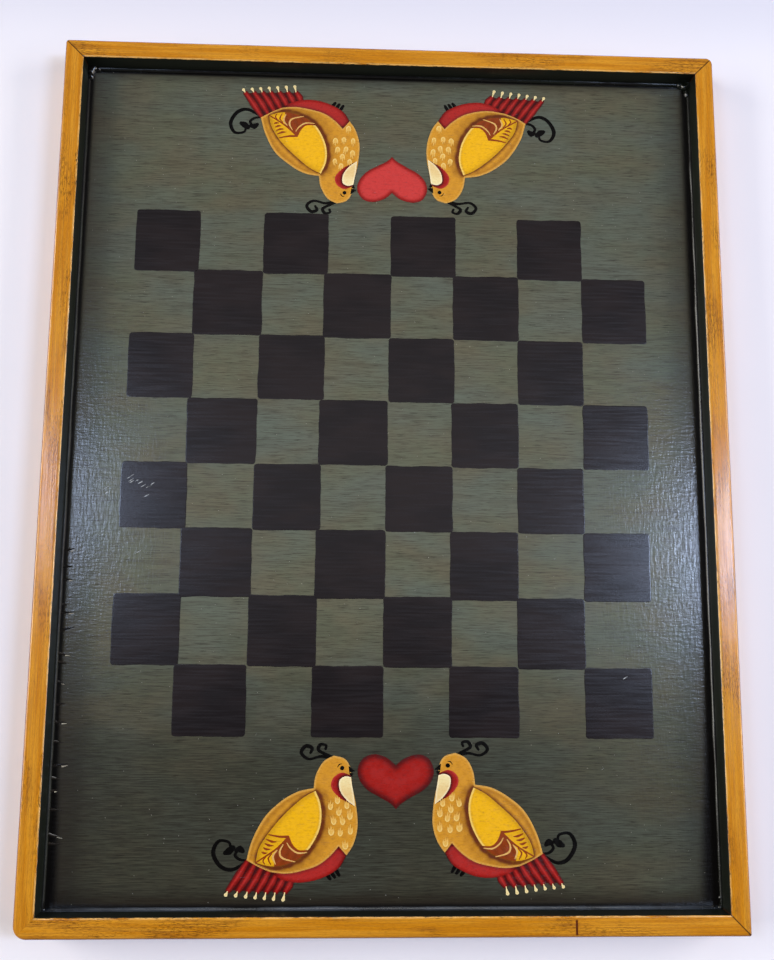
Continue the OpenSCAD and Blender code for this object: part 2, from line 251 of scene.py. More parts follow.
def panel_paint(colours):
    """Antiqued acrylic on plywood: green paint brushed across the board, wiped with a brown
    glaze that stays in the grain and gathers along the frame, under satin varnish."""
    material, add = new_material("antiqued_green_panel")
    place = add("TexCoord").outputs["Object"]
    x, y, _ = add("SeparateXYZ", place).outputs
    from_side = add("Math.SUBTRACT", INNER_W, add("Math.ABSOLUTE", x))
    from_end = add("Math.SUBTRACT", INNER_L, add("Math.ABSOLUTE", y))
    # Brush streaks about 15 by 0.7 mm, broader ones 50 by 4 mm, and drifts of colour 30 by 20 mm
    # and 80 by 40 mm
    fine = streaks(add, place, (65, 1500, 1), 5.0, 0.65)
    broad = streaks(add, place, (20, 260, 1), 3.0)
    cloudy = streaks(add, place, (34, 46, 1), 3.0)
    drift = streaks(add, place, (12, 26, 1), 2.0)
    # Open grain of the veneer: dark ticks about 10 mm long and 0.4 mm wide
    pores = add(RAMP, streaks(add, place, (100, 2400, 1), 3.0, 0.6), 0.56, 0.66)

    # Green paint, with glaze in the streaks of the brush
    colour = add(BLEND, add(RAMP, cloudy, 0.36, 0.64), colours.panel_green, colours.panel_olive)
    colour = add(BLEND, add(RAMP, drift, 0.36, 0.68, 0.0, 0.7), colour, colours.panel_teal)
    colour = add(BLEND, add(RAMP, fine, 0.42, 0.7, 0.0, 0.5), colour, colours.glaze)
    colour = add(BLEND, add(RAMP, broad, 0.48, 0.75, 0.0, 0.3), colour, colours.glaze)

    # Painted shade, heavier over the bottom third and most of all at the left, and thin over the far
    # third, both streaked like the rest
    ragged_y = add("Math.MULTIPLY_ADD", cloudy, 0.06, y)
    bottom = add("Math.MULTIPLY", add(RAMP, ragged_y, -0.155, -0.045, 0.82, 0.0),
                 add(RAMP, x, 0.02, 0.16, 1.0, 0.6))
    painted_shade = add("Math.MAXIMUM", bottom, add(RAMP, y, 0.04, 0.15, 0.0, 0.13))
    painted_shade = add("Math.MULTIPLY", painted_shade, add(RAMP, fine, 0.35, 0.65, 0.8, 1.15))
    colour = add(BLEND, painted_shade, colour, colours.panel_painted_shade)
    colour = add(BLEND, add("Math.MULTIPLY", pores, 0.65), colour, colours.glaze_dark)

    # Glaze gathered along the frame, 10 mm wide at the ends, 20 mm along the long rails and half
    # as much again low on the left
    ragged = add("Math.MULTIPLY_ADD", broad, 0.012, -0.006)
    low_left = add("Math.MULTIPLY", add(RAMP, y, -0.2, -0.06, 0.55, 0.0), add(RAMP, x, -0.1, 0.05, 1.0, 0.0))
    side = add("Math.DIVIDE", add("Math.ADD", from_side, ragged), add("Math.ADD", low_left, 1.0))
    side = add(RAMP, side, 0.001, 0.021, 1.0, 0.0)
    end = add(RAMP, add("Math.ADD", from_end, ragged), 0.0, 0.009, 1.0, 0.0)
    gathered = add("Math.MULTIPLY", add("Math.MAXIMUM", side, end), 0.56)
    colour = add(BLEND, gathered, colour, colours.glaze)

    # A last dark wash over the bottom 12 mm, and black paint pooled against the frame, 3 mm wide
    # and up to 8 mm at the lower right
    from_foot = add("Math.MULTIPLY_ADD", broad, 0.008, add("Math.ADD", y, INNER_L - 0.004))
    wash = add(RAMP, from_foot, 0.001, 0.015, 0.75, 0.0)
    colour = add(BLEND, wash, colour, colours.glaze_dark)
    pool = add("Math.MULTIPLY", add(RAMP, y, -0.23, -0.1, 0.5, 1.0), add(RAMP, x, 0.0, 0.1, 0.8, 0.55))
    foot = add("Math.MINIMUM", add("Math.MULTIPLY", from_side, pool), from_end)
    foot = add(RAMP, add("Math.MULTIPLY_ADD", fine, 0.0012, foot), 0.0024, 0.0045, 1.0, 0.0)
    colour = add(BLEND, foot, colour, colours.edge_black)

    # Dust nibs in the varnish, about 0.3 mm across, in a fifth of cells 8 mm wide
    nib = add("TexVoronoi", Vector=place, Scale=125.0, voronoi_dimensions="2D")
    chance = add("SeparateColor", nib.outputs["Color"])
    nibs = add("Math.MULTIPLY", add(RAMP, nib.outputs["Distance"], 0.01, 0.036, 1.0, 0.0),
               add("Math.GREATER_THAN", chance, 0.78))
    colour = add(BLEND, add("Math.MULTIPLY", nibs, 0.45), colour, linear("#bab7a6"))

    # Ripples of the brush both ways, 1.5 to 3 mm apart, deeper towards the long rails
    across = streaks(add, place, (640, 150, 1), 2.0, 0.5)
    down = streaks(add, place, (200, 720, 1), 2.0, 0.5)
    ripple = add("Math.MULTIPLY", add("Math.ADD", across, down), add(RAMP, from_side, 0.02, 0.09, 1.0, 0.12))
    height = add("Math.MULTIPLY_ADD", fine, 0.07, add("Math.MULTIPLY_ADD", ripple, 0.38, nibs))
    roughness = add(RAMP, fine, 0.3, 0.75, 0.165, 0.25)
    close_material(add, colour, roughness, height, 0.00022, IOR=VARNISH_IOR)
    return material


def rail_paint(colours):
    """Ochre paint on planed pine, sanded through at the arrises and antiqued with brown stain,
    so that the grain along each rail, the mitres and the outer edges read darker."""
    material, add = new_material("antiqued_ochre_pine")
    uv = add("UVMap", uv_map=RAIL_UV)
    _, v, _ = add("SeparateXYZ", uv).outputs
    x, y, _ = add("SeparateXYZ", add("TexCoord").outputs["Object"]).outputs
    # Grain lines about 45 by 1 mm, soft bands 4 mm wide, ticks 3 by 0.5 mm, and the places, some
    # 50 by 15 mm, where stain and ticks gather
    grain = streaks(add, uv, (30, 1300, 1), 4.0, 0.6)
    bands = streaks(add, uv, (14, 250, 1), 2.0)
    ticks = streaks(add, uv, (330, 2000, 1), 4.0, 0.7)
    stained = add(RAMP, streaks(add, uv, (20, 70, 1), 2.0), 0.46, 0.66)

    colour = add(BLEND, add(RAMP, bands, 0.38, 0.62), colours.rail_light, colours.rail_ochre)
    some = add("Math.MULTIPLY_ADD", stained, 0.6, 0.4)
    lines = add("Math.MULTIPLY", add(RAMP, grain, 0.44, 0.58, 0.0, 0.72), some)
    colour = add(BLEND, lines, colour, colours.rail_stain)
    dark = add("Math.MULTIPLY", add(RAMP, ticks, 0.5, 0.56),
               add("Math.MULTIPLY_ADD", stained, 0.45, 0.15))
    colour = add(BLEND, dark, colour, colours.rail_dark)
    # Wear: stain left round the outer arris, thinner down the side. A pale line along the inner
    # arris is a painted highlight of the arris catching the light
    outside = add("Math.MULTIPLY", add(RAMP, v, -0.0002, 0.0012, 1.0, 0.0),
                  add(RAMP, v, -0.008, -0.001, 0.2, 1.0))
    colour = add(BLEND, add("Math.MULTIPLY", outside, 0.8), colour, colours.rail_brown)
    arris_highlight = add("Math.MULTIPLY", add(RAMP, v, RAIL_W - 0.0011, RAIL_W - 0.0005),
                 add(RAMP, streaks(add, uv, (60, 300, 1), 3.0), 0.4, 0.55))
    colour = add(BLEND, add("Math.MULTIPLY", arris_highlight, 0.7), colour, colours.rail_arris_highlight)
    # Smudges of the dark inner paint over the inner arris, gathered in places
    near = add("Math.MULTIPLY_ADD", streaks(add, uv, (20, 0, 1), 3.0), 0.009, v)
    inner_edge = add(RAMP, near, RAIL_W + 0.0032, RAIL_W + 0.0052)
    smudge = add("Math.MULTIPLY", inner_edge, add(RAMP, ticks, 0.5, 0.6))
    colour = add(BLEND, add("Math.MULTIPLY", smudge, 0.9), colour, colours.edge_black)
    # The inner wall is painted dark green down from a slightly ragged line
    line = add("Math.MULTIPLY_ADD", streaks(add, uv, (160, 0, 1), 4.0), 0.0014, v)
    wall = add(RAMP, line, RAIL_W + 0.0008, RAIL_W + 0.0011)
    colour = add(BLEND, wall, colour, colours.wall_green)
    # Mitres: the distance to the diagonal through the corner, as a hairline full of stain
    across = add("Math.SUBTRACT", HALF_W, add("Math.ABSOLUTE", x))
    along = add("Math.SUBTRACT", HALF_L, add("Math.ABSOLUTE", y))
    mitre = add("Math.ABSOLUTE", add("Math.SUBTRACT", across, along))
    mitre = add(RAMP, add("Math.MULTIPLY_ADD", ticks, 0.0006, mitre), 0.0004, 0.0011, 1.0, 0.0)
    # None shows at the near left corner, where filler covers it
    filled = add("Math.LESS_THAN", add("Math.ADD", x, y), 0.03 - HALF_W - HALF_L)
    open_joint = add("Math.SUBTRACT", 0.9, add("Math.MULTIPLY", filled, 0.85))
    colour = add(BLEND, add("Math.MULTIPLY", mitre, open_joint), colour, colours.rail_dark)
    # One short drying crack across the near rail
    crack = add("Math.ABSOLUTE", add("Math.SUBTRACT", x, CRACK_X))
    crack = add(RAMP, add("Math.MULTIPLY_ADD", ticks, 0.0005, crack), 0.0006, 0.0011, 1.0, 0.0)
    crack = add("Math.MULTIPLY", crack, add("Math.LESS_THAN", y, -INNER_L))
    crack = add("Math.MULTIPLY", crack, add(RAMP, v, 0.0008, 0.0016))
    crack = add("Math.MULTIPLY", crack, add(RAMP, v, RAIL_W - 0.0024, RAIL_W - 0.0014, 1.0, 0.0))
    colour = add(BLEND, add("Math.MULTIPLY", crack, 0.95), colour, linear("#4a160a"))

    height = add("Math.MULTIPLY_ADD", grain, 0.6, add("Math.MULTIPLY", ticks, -0.5))
    height = add("Math.SUBTRACT", height, add("Math.MULTIPLY", crack, 0.5))
    roughness = add("Math.MULTIPLY_ADD", wall, 0.12, add(RAMP, grain, 0.35, 0.7, 0.16, 0.26))
    close_material(add, colour, roughness, height, 0.0001, IOR=VARNISH_IOR)
    return material


def brush_paint(name, base, shade, light):
    """Artist's acrylic laid with a soft brush: an opaque base colour, a darker float and a
    paler highlight where the piece's own masks say, and the panel's grain showing through."""
    material, add = new_material(name)
    place = add("TexCoord").outputs["Object"]
    dark = add("Attribute", attribute_name="shade").outputs["Fac"]
    pale = add("Attribute", attribute_name="light").outputs["Fac"]
    # Brush hairs about 0.5 mm apart, blotches 4 mm wide, grain ticks 6 by 0.5 mm
    hairs = streaks(add, place, (500, 900, 1), 3.0)
    blotches = streaks(add, place, (220, 260, 1), 2.0)
    ticks = add(RAMP, streaks(add, place, (160, 2000, 1), 2.0), 0.6, 0.72)
    wiggle = add("Math.MULTIPLY_ADD", blotches, 0.5, -0.25)
    dark = add("Math.ADD", dark, add("Math.MULTIPLY", wiggle, add("Math.MULTIPLY", dark, 1.2)))
    colour = add(BLEND, dark, base, shade)
    colour = add(BLEND, pale, colour, light)
    colour = add(BLEND, add(RAMP, hairs, 0.45, 0.75, 0.0, 0.22), colour, shade)
    colour = add(BLEND, add("Math.MULTIPLY", ticks, 0.35), colour, shade)
    height = add("Math.MULTIPLY_ADD", hairs, 0.6, add("Math.MULTIPLY", ticks, -0.4))
    roughness = add(RAMP, blotches, 0.3, 0.7, 0.24, 0.32)
    close_material(add, colour, roughness, height, 0.00006, IOR=VARNISH_IOR)
    return material


def dark_paint(name, colour, drift_colour, per_metre, gloss=0.2, relief=0.00004, index=VARNISH_IOR):
    """Dark acrylic under satin varnish, its brush streaks showing as fine ridges, with a faint
    drift towards a second colour."""
    material, add = new_material(name)
    place = add("TexCoord").outputs["Object"]
    fine = streaks(add, place, per_metre, 2.0, 0.4)
    cloudy = streaks(add, place, (25, 60, 25), 2.0)
    base = add(BLEND, add(RAMP, cloudy, 0.35, 0.65), colour, drift_colour)
    base = add(BLEND, add(RAMP, fine, 0.5, 0.8, 0.0, 0.5), base, drift_colour)
    peel = streaks(add, place, (300, 420, 300), 1.0)
    height = add("Math.MULTIPLY_ADD", fine, 0.6, add("Math.MULTIPLY", peel, 0.4))
    close_material(add, base, add(RAMP, fine, 0.3, 0.7, gloss, gloss + 0.08), height, relief, IOR=index)
    return material


def brad_wire():
    """Bright drawn steel wire, faintly striped along its length."""
    material, add = new_material("bright_brad_wire")
    place = add("TexCoord").outputs["Object"]
    drawn = streaks(add, place, (900, 900, 900), 2.0)
    colour = add(BLEND, drawn, linear("#8d8c8a"), linear("#b3b1ae"))
    close_material(add, colour, add(RAMP, drawn, 0.3, 0.7, 0.28, 0.4), drawn, 0.00002, Metallic=1.0)
    return material


def linen_floor():
    """Matt white cotton cloth, with a weave too fine to see, a faint unevenness and painted shade beyond the
    far rail.
    """
    material, add = new_material("white_table_cloth")
    place = add("TexCoord").outputs["Object"]
    uneven = streaks(add, place, (6, 6, 6), 3.0)
    colour = add(BLEND, uneven, linear("#e9e5e8"), linear("#f1edef"))
    # Painted shade: a little greyer beyond the far rail
    _, y, _ = add("SeparateXYZ", place).outputs
    far = add(RAMP, y, 0.22, 0.32, 0.0, 0.9)
    colour = add(BLEND, far, colour, linear("#cccbd6"))
    close_material(add, colour, 0.9, uneven, 0.0005, Specular_IOR_Level=0.2)
    return material


# ---- properties ---------------------------------------------------------------------

def colour_value(name, description, hex_colour):
    """A colour that a user can change."""
    return bpy.props.FloatVectorProperty(name=name, description=description, subtype="COLOR", size=4,
                                         min=0, max=1, default=linear(hex_colour))


class CheckerboardColours(bpy.types.PropertyGroup):
    panel_green: colour_value("Panel green", "Green paint of the panel", "#5c5e4a")
    panel_olive: colour_value("Panel olive", "Olive drift of the panel's paint", "#5f5b47")
    panel_teal: colour_value("Panel teal", "Grey-green drift of the panel's paint", "#596258")
    # Painted shade over the bottom third of the panel, and thinly over the far third
    panel_painted_shade: colour_value("Panel dusk", "Heavier glaze over the bottom third of the panel", "#2b2a22")
    glaze: colour_value("Glaze", "Brown antiquing glaze", "#33291f")
    glaze_dark: colour_value("Glaze in the grain", "Glaze where it sits in open grain", "#1d1711")
    edge_black: colour_value("Edge black", "Built-up dark paint along the frame", "#0b0908")
    rail_ochre: colour_value("Rail ochre", "Ochre paint of the rails", "#c07a10")
    rail_light: colour_value("Rail light ochre", "Paler ochre where the paint is thin", "#ce8c22")
    # Painted highlight along the rails' inner arris, where it catches the light
    rail_arris_highlight: colour_value("Rail pale", "Worn paint on the rails' inner arris", "#e3b264")
    rail_stain: colour_value("Rail stain", "Brown stain in the grain of the rails", "#8f5616")
    rail_brown: colour_value("Rail brown", "Stain built up on the outer sides", "#6e4012")
    rail_dark: colour_value("Rail dark", "Dark flecks, mitres and cracks of the rails", "#341a08")
    wall_green: colour_value("Wall green", "Dark green paint of the inner walls", "#0e120b")
    square_black: colour_value("Square black", "Dark squares", "#161112")
    square_worn: colour_value("Square brown", "Warm drift of the dark squares", "#1e1717")
    line_black: colour_value("Line black", "Fine brush lines", "#080706")
    heart_red: colour_value("Heart red", "Hearts, bellies and bibs", "#971710")
    heart_shade: colour_value("Dark red", "Float round the hearts and between feathers", "#3d0405")
    heart_light: colour_value("Light red", "Highlight of the red paint", "#c43a36")
    body_ochre: colour_value("Body ochre", "Bodies of the birds", "#c98b25")
    body_shade: colour_value("Body shade", "Brown float beside the wings", "#5f2809")
    body_light: colour_value("Body light", "Pale rim of the bodies", "#dfb05a")
    wing_yellow: colour_value("Wing yellow", "Wings", "#e6ac10")
    wing_light: colour_value("Wing light", "Pale rim of the wings", "#f0cc6a")
    cream: colour_value("Cream", "Cheeks and tail tips", "#e8d59a")
    wing_brown: colour_value("Wing brown", "Patches at the wing ends", "#86360c")


def length_value(name, description, default, **limits):
    """A length that a user can change."""
    return bpy.props.FloatProperty(name=name, description=description, default=default, unit="LENGTH",
                                   precision=6, **limits)


class CheckerboardSizes(bpy.types.PropertyGroup):
    film: length_value("Paint film", "Thickness of one coat of paint", 0.08 * MM, min=0.02 * MM)
    wobble: length_value("Brush wobble", "How far painted edges wander", 0.4 * MM, min=0)
    overlap: length_value("Square overlap", "How much wider than its cell a dark square is", 0.7 * MM, min=0)
    row_drift: length_value("Row drift", "Sideways slip of each row of squares", -0.48 * MM)
    column_drift: length_value("Column drift", "Downward slip of each column of squares", -0.19 * MM)
    outer_edge: length_value("Outer edge radius", "Round of a rail's outer top edge", 1.6 * MM, min=0.1 * MM)
    inner_edge: length_value("Inner edge radius", "Round of a rail's inner top edge", 0.8 * MM, min=0.1 * MM)
    corner: length_value("Corner radius", "Round of the frame's four corners", 2.4 * MM, min=0.1 * MM)


# ---- frame --------------------------------------------------------------------------

# Each rail's node, the axis that it runs along and the side that it is on
RAILS = {"rail_left": (1, -1), "rail_right": (1, 1), "rail_top": (0, 1), "rail_bottom": (0, -1)}

# Each corner of the frame and how far it is rounded, as a share of the usual radius
CORNER_WEAR = [(-1, 1, 0.9), (1, 1, 1.8), (1, -1, 0.6), (-1, -1, 3.0)]

# An edge longer than this runs from end to end of a rail
RAIL_LONG = 0.3


def frame_ring(sizes):
    """The whole frame as one ring: a slab inset and bridged through, with its edges rounded."""
    ring = block("frame_ring", Vector((-HALF_W, -HALF_L, 0)), Vector((HALF_W, HALF_L, RAIL_H)))
    pick("FACE", lambda f: abs(f.normal.z) > 0.9)
    bpy.ops.mesh.inset(thickness=RAIL_W, use_individual=True)
    bpy.ops.mesh.bridge_edge_loops()
    for x, y, wear in CORNER_WEAR:
        pick("EDGE", lambda e: runs_along(e, 2) and middle(e).x * x > HALF_W - NEAR and middle(e).y * y > 0)
        bpy.ops.mesh.bevel(offset=sizes.corner * wear, segments=8, affect="EDGES")
    top = RAIL_H - NEAR
    # The outer top edge, round corners too, lies more than 4 mm out from the hole
    pick("EDGE", lambda e: middle(e).z > top
         and (abs(middle(e).x) > INNER_W + 0.004 or abs(middle(e).y) > INNER_L + 0.004)
         and len([f for f in e.link_faces if abs(f.normal.z) > 0.9]) == 1)
    bpy.ops.mesh.bevel(offset=sizes.outer_edge, segments=5, affect="EDGES")
    pick("EDGE", lambda e: middle(e).z > top and abs(middle(e).x) < INNER_W + NEAR
         and abs(middle(e).y) < INNER_L + NEAR)
    bpy.ops.mesh.bevel(offset=sizes.inner_edge, segments=4, affect="EDGES")
    bpy.ops.object.mode_set(mode="OBJECT")
    return ring


def cut_mitres(axis, side, half_w, half_l, cuts):
    """Cuts the open mesh off at the two mitres of a half_w by half_l frame, and divides it along
    its length."""
    for end in (-1, 1):
        corner = (side * half_w, end * half_l, 0) if axis == 1 else (end * half_w, side * half_l, 0)
        keep = Vector((side, -end, 0)) if axis == 1 else Vector((-end, side, 0))
        bpy.ops.mesh.select_all(action="SELECT")
        bpy.ops.mesh.bisect(plane_co=corner, plane_no=keep.normalized(), clear_inner=True, use_fill=True)
    pick("EDGE", lambda e: runs_along(e, axis, 0.999) and e.calc_length() > RAIL_LONG)
    bpy.ops.mesh.subdivide(number_cuts=cuts)


def cut_rail(ring, name, axis, side):
    """One rail of the ring, between its two mitres, with its flat top divided across too."""
    rail = copy_of(ring, name)
    select_only(rail)
    bpy.ops.object.mode_set(mode="EDIT")
    cut_mitres(axis, side, HALF_W, HALF_L, 90)
    pick("EDGE", lambda e: runs_along(e, 1 - axis, 0.6) and middle(e).z > RAIL_H - NEAR
         and 0.007 < e.calc_length() < 0.014)
    bpy.ops.mesh.subdivide(number_cuts=7)
    bpy.ops.object.mode_set(mode="OBJECT")
    return rail


def wear_rail(rail, axis, side, seed):
    """Rubs the arrises a little unevenly and writes the UV map: u along the rail, v round it from
    the outer top edge, negative down the outer side, RAIL_W and more down the inner wall."""
    half, reach = (HALF_W, HALF_L) if axis == 0 else (HALF_L, HALF_W)
    outward = Vector((side, 0, 0)) if axis == 1 else Vector((0, side, 0))
    for vertex in rail.data.vertices:
        p = vertex.co
        depth = reach - p.dot(outward)
        drop = RAIL_H - p.z
        rub = 0.5 + 0.5 * noise.noise(Vector((p[axis] * 28, seed, depth * 300)))
        if drop < 0.004:
            off_crown = (depth / RAIL_W - 0.5) * 2
            p.z -= 0.00005 + 0.00008 * off_crown ** 2 + 0.00007 * rub
        if depth < 0.003:
            p -= outward * (0.00005 + 0.00012 * rub)
    mesh = rail.data
    layer = mesh.uv_layers.new(name=RAIL_UV)
    for face in mesh.polygons:
        for loop in face.loop_indices:
            p = mesh.vertices[mesh.loops[loop].vertex_index].co
            depth = reach - side * p[1 - axis]
            drop = RAIL_H - p.z
            v = depth - drop if depth < RAIL_W / 2 else depth + drop
            if face.normal.z < -0.9:
                v = depth + 2 * RAIL_H
            layer.data[loop].uv = (p[axis] + half + seed, v)


class CHECKERBOARD_OT_rails(bpy.types.Operator):
    """Makes the four mitred rails of the frame"""
    bl_idname = "checkerboard.rails"
    bl_label = "Rails"

    def execute(self, context):
        paint = rail_paint(context.scene.checkerboard_colours)
        ring = frame_ring(context.scene.checkerboard_sizes)
        for seed, (name, (axis, side)) in enumerate(RAILS.items()):
            rail = cut_rail(ring, name + "_painted", axis, side)
            wear_rail(rail, axis, side, seed)
            smooth(rail)
            finish_piece(rail, paint, (name,))
        bpy.data.objects.remove(ring)
        return {"FINISHED"}


class CHECKERBOARD_OT_beads(bpy.types.Operator):
    """Makes the uneven bead of filler along the foot of each inner wall"""
    bl_idname = "checkerboard.beads"
    bl_label = "Beads"

    def execute(self, context):
        colours = context.scene.checkerboard_colours
        for seed, (rail, (axis, side)) in enumerate(RAILS.items()):
            name = rail.replace("rail", "bead")
            # Black all round and dull on the left; slate grey along the bottom, a painted highlight of the
            # bead's crest
            base, drift_colour, gloss, index = colours.edge_black, colours.wall_green, 0.2, VARNISH_IOR
            if name == "bead_left":
                gloss, index = 0.4, 1.3
            elif name == "bead_bottom":
                base, drift_colour = linear("#15181c"), linear("#31373f")
            paint = dark_paint(name + "_paint", base, drift_colour, (200, 200, 200), gloss, index=index)
            lo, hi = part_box(name)
            bead = block(name + "_painted", lo, hi)
            # Its upper inner edge is rounded over, and wiped flatter along the bottom
            inner = (lo if side > 0 else hi)[1 - axis]
            pick("EDGE", lambda e: runs_along(e, axis) and middle(e).z > hi.z - NEAR
                 and abs(middle(e)[1 - axis] - inner) < NEAR)
            profile = 0.3 if name == "bead_bottom" else 0.5
            bpy.ops.mesh.bevel(offset=BEAD_W * 0.98, segments=7, profile=profile, affect="EDGES")
            cut_mitres(axis, side, INNER_W, INNER_L, 160)
            bpy.ops.object.mode_set(mode="OBJECT")
            wall = side * (INNER_W if axis == 1 else INNER_L)
            for vertex in bead.data.vertices:
                p = vertex.co
                # Swells about 20 mm long and ripples of 4 mm
                swell = 0.76 + 0.24 * noise.noise(Vector((p[axis] * 45, seed * 7.3, 0)))
                swell += 0.06 * noise.noise(Vector((p[axis] * 260, seed * 3.1, 5)))
                p[1 - axis] = wall + (p[1 - axis] - wall) * swell
                p.z = PANEL_TOP + (p.z - PANEL_TOP) * swell
            smooth(bead, 60)
            finish_piece(bead, paint, (name,))
        return {"FINISHED"}


def splinter(radius, length, x, y, turn):
    """A splinter lying half in the panel, its point away from the rail."""
    bpy.ops.object.select_all(action="DESELECT")
    bpy.ops.mesh.primitive_cone_add(vertices=7, radius1=radius, radius2=0.1 * MM, depth=length,
                                    location=(x, y, PANEL_TOP), rotation=(0, math.radians(90), turn))
    piece = start_piece("splinter")
    bpy.ops.mesh.subdivide(number_cuts=2)
    bpy.ops.object.mode_set(mode="OBJECT")
    for vertex in piece.data.vertices:
        p = vertex.co
        p.y += 0.0003 * noise.noise(p * 900)
        p.z = PANEL_TOP + (p.z - PANEL_TOP) * 0.6
    return piece


class CHECKERBOARD_OT_panel(bpy.types.Operator):
    """Makes the plywood panel, with torn splinters along its left edge"""
    bl_idname = "checkerboard.panel"
    bl_label = "Panel"

    def execute(self, context):
        colours = context.scene.checkerboard_colours
        lo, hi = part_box("panel")
        panel = block("panel_painted", lo, hi)
        pick("EDGE", lambda e: middle(e).z < lo.z + NEAR)
        bpy.ops.mesh.bevel(offset=0.0004, segments=2, affect="EDGES")
        finish_piece(panel, panel_paint(colours), ("panel",))

        # Black splinters along the lower left edge, every other one with a pale chip at its near side
        black = dark_paint("splinter_paint", colours.edge_black, colours.glaze_dark, (300, 300, 300), 0.1)
        pale_chips = dark_paint("pale_chip_paint", linear("#9a8f7c"), linear("#c2b99f"), (300, 300, 300), 0.1)
        count, first, stretch = 18, -0.05, 0.17
        foot = BEAD_W * 0.6 - INNER_W
        rng = random.Random(11)
        torn, edges = [], []
        for i in range(count):
            y = first - stretch * (i + rng.uniform(-0.4, 0.4)) / count
            length, turn = rng.uniform(0.003, 0.0085), rng.uniform(-0.25, 0.25)
            torn.append(splinter(0.001, length, foot + length / 2, y, turn))
            if i % 2 == 0:
                edges.append(splinter(0.0004, 0.4 * length, foot + 0.8 * length, y - 0.0007, turn))
        for name, pieces, paint, slot in (("torn_splinters", torn, black, "black_paint"),
                                          ("torn_edges", edges, pale_chips, "cream_paint")):
            joined = join_as(name, pieces)
            smooth(joined, 40)
            finish_piece(joined, paint)
        return {"FINISHED"}


# ---- painted grid -------------------------------------------------------------------

# How far the painter reached past the pencil lines, in mm: to the left, column by column, and
# upwards, row by row from the top
COLUMN_REACH = [-1.2, 1.5, -0.3, 1.2, 0, 0.4, 0, -0.4]
ROW_REACH = [-0.8, 0.8, 0, -0.4, -0.6, 0.4, 0.8, 0.2]
# How far the painted grid slipped as a whole
GRID_SLIP = Vector((-0.0015, 0.0006, 0))
# Brush streaks of the squares, 25 mm long and 1.3 mm apart
SQUARE_STREAKS = (40, 800, 1)


class CHECKERBOARD_OT_squares(bpy.types.Operator):
    """Paints the dark squares by hand, each a little off true"""
    bl_idname = "checkerboard.squares"
    bl_label = "Dark squares"

    def execute(self, context):
        colours, sizes = context.scene.checkerboard_colours, context.scene.checkerboard_sizes
        paint = dark_paint("black_square_paint", colours.square_black, colours.square_worn, SQUARE_STREAKS)
        # One square with round corners, its sides divided and its top edge eased
        bpy.ops.object.select_all(action="DESELECT")
        bpy.ops.mesh.primitive_plane_add(size=CELL + sizes.overlap, location=(0, 0, PANEL_TOP - sizes.film))
        pattern = start_piece("square_pattern")
        bpy.ops.mesh.select_all(action="SELECT")
        bpy.ops.mesh.bevel(offset=0.0017, segments=5, affect="VERTICES")
        pick("EDGE", lambda e: e.calc_length() > CELL / 2)
        bpy.ops.mesh.subdivide(number_cuts=23)
        pick("FACE", lambda f: True)
        bpy.ops.mesh.extrude_region_move(TRANSFORM_OT_translate={"value": (0, 0, 2 * sizes.film)})
        bpy.ops.mesh.inset(thickness=0.0004, depth=0.00002)
        bpy.ops.mesh.select_all(action="SELECT")
        bpy.ops.mesh.normals_make_consistent(inside=False)
        bpy.ops.object.mode_set(mode="OBJECT")

        rng = random.Random(5)
        squares = []
        centre = (GRID_LO + GRID_HI) / 2 + GRID_SLIP
        for row in range(CELLS):
            for column in range(CELLS):
                if (row + column) % 2:
                    continue
                r, c = row - (CELLS - 1) / 2, column - (CELLS - 1) / 2
                place = Vector((centre.x + c * CELL + r * sizes.row_drift,
                                centre.y - r * CELL + c * sizes.column_drift, 0))
                place += Vector((rng.uniform(-1, 1), rng.uniform(-1, 1), 0)) * sizes.wobble * 0.6
                square = copy_of(pattern, f"square_{row}_{column}")
                for vertex in square.data.vertices:
                    p = vertex.co
                    # The far side of the square stays where it is
                    p.x -= COLUMN_REACH[column] * MM * soft(-p.x, -CELL / 2, CELL / 2)
                    p.y += ROW_REACH[row] * MM * soft(p.y, -CELL / 2, CELL / 2)
                    q = Vector((p.x * 90, p.y * 90, row * 8.1 + column * 3.7))
                    wander = noise.noise_vector(q) + 0.5 * noise.noise_vector(q * 3.1)
                    p += Vector((wander.x, wander.y, 0)) * sizes.wobble
                    p += place
                squares.append(square)
        bpy.data.objects.remove(pattern)
        grid = join_as("dark_squares_painted", squares)
        finish_piece(grid, paint, ("dark_squares",))
        return {"FINISHED"}


# ---- painted hearts and birds -------------------------------------------------------

def curve(points, steps=8):
    """Smooth open curve through the points, without its last point."""
    made = []
    for i in range(len(points) - 1):
        a, b = points[max(i - 1, 0)], points[i]
        c, d = points[i + 1], points[min(i + 2, len(points) - 1)]
        for k in range(steps):
            t = k / steps
            made.append(tuple(0.5 * (2 * b[n] + (c[n] - a[n]) * t
                                     + (2 * a[n] - 5 * b[n] + 4 * c[n] - d[n]) * t * t
                                     + (3 * b[n] - a[n] - 3 * c[n] + d[n]) * t ** 3) for n in (0, 1)))
    return made


def stroke(points, widths, steps=8, cap=7):
    """Outline of a brush stroke along a smooth curve, its width going through the widths."""
    line = np.array(curve(points, steps) + [points[-1]], dtype=float)
    way = np.gradient(line, axis=0)
    way /= np.linalg.norm(way, axis=1)[:, None]
    left = np.stack([-way[:, 1], way[:, 0]], axis=1)
    half = np.interp(np.linspace(0, 1, len(line)), np.linspace(0, 1, len(widths)), widths)[:, None] / 2
    turn = np.radians(np.linspace(0, 180, cap + 2)[1:-1])[:, None]
    far = line[-1] + (left[-1] * np.cos(turn) + way[-1] * np.sin(turn)) * half[-1]
    near = line[0] - (left[0] * np.cos(turn) + way[0] * np.sin(turn)) * half[0]
    return np.concatenate([line + left * half, far, (line - left * half)[::-1], near]).tolist()


def disc(centre, radius, count=16):
    """Outline of a round spot."""
    return [(centre[0] + radius * math.cos(2 * math.pi * k / count),
             centre[1] + radius * math.sin(2 * math.pi * k / count)) for k in range(count)]


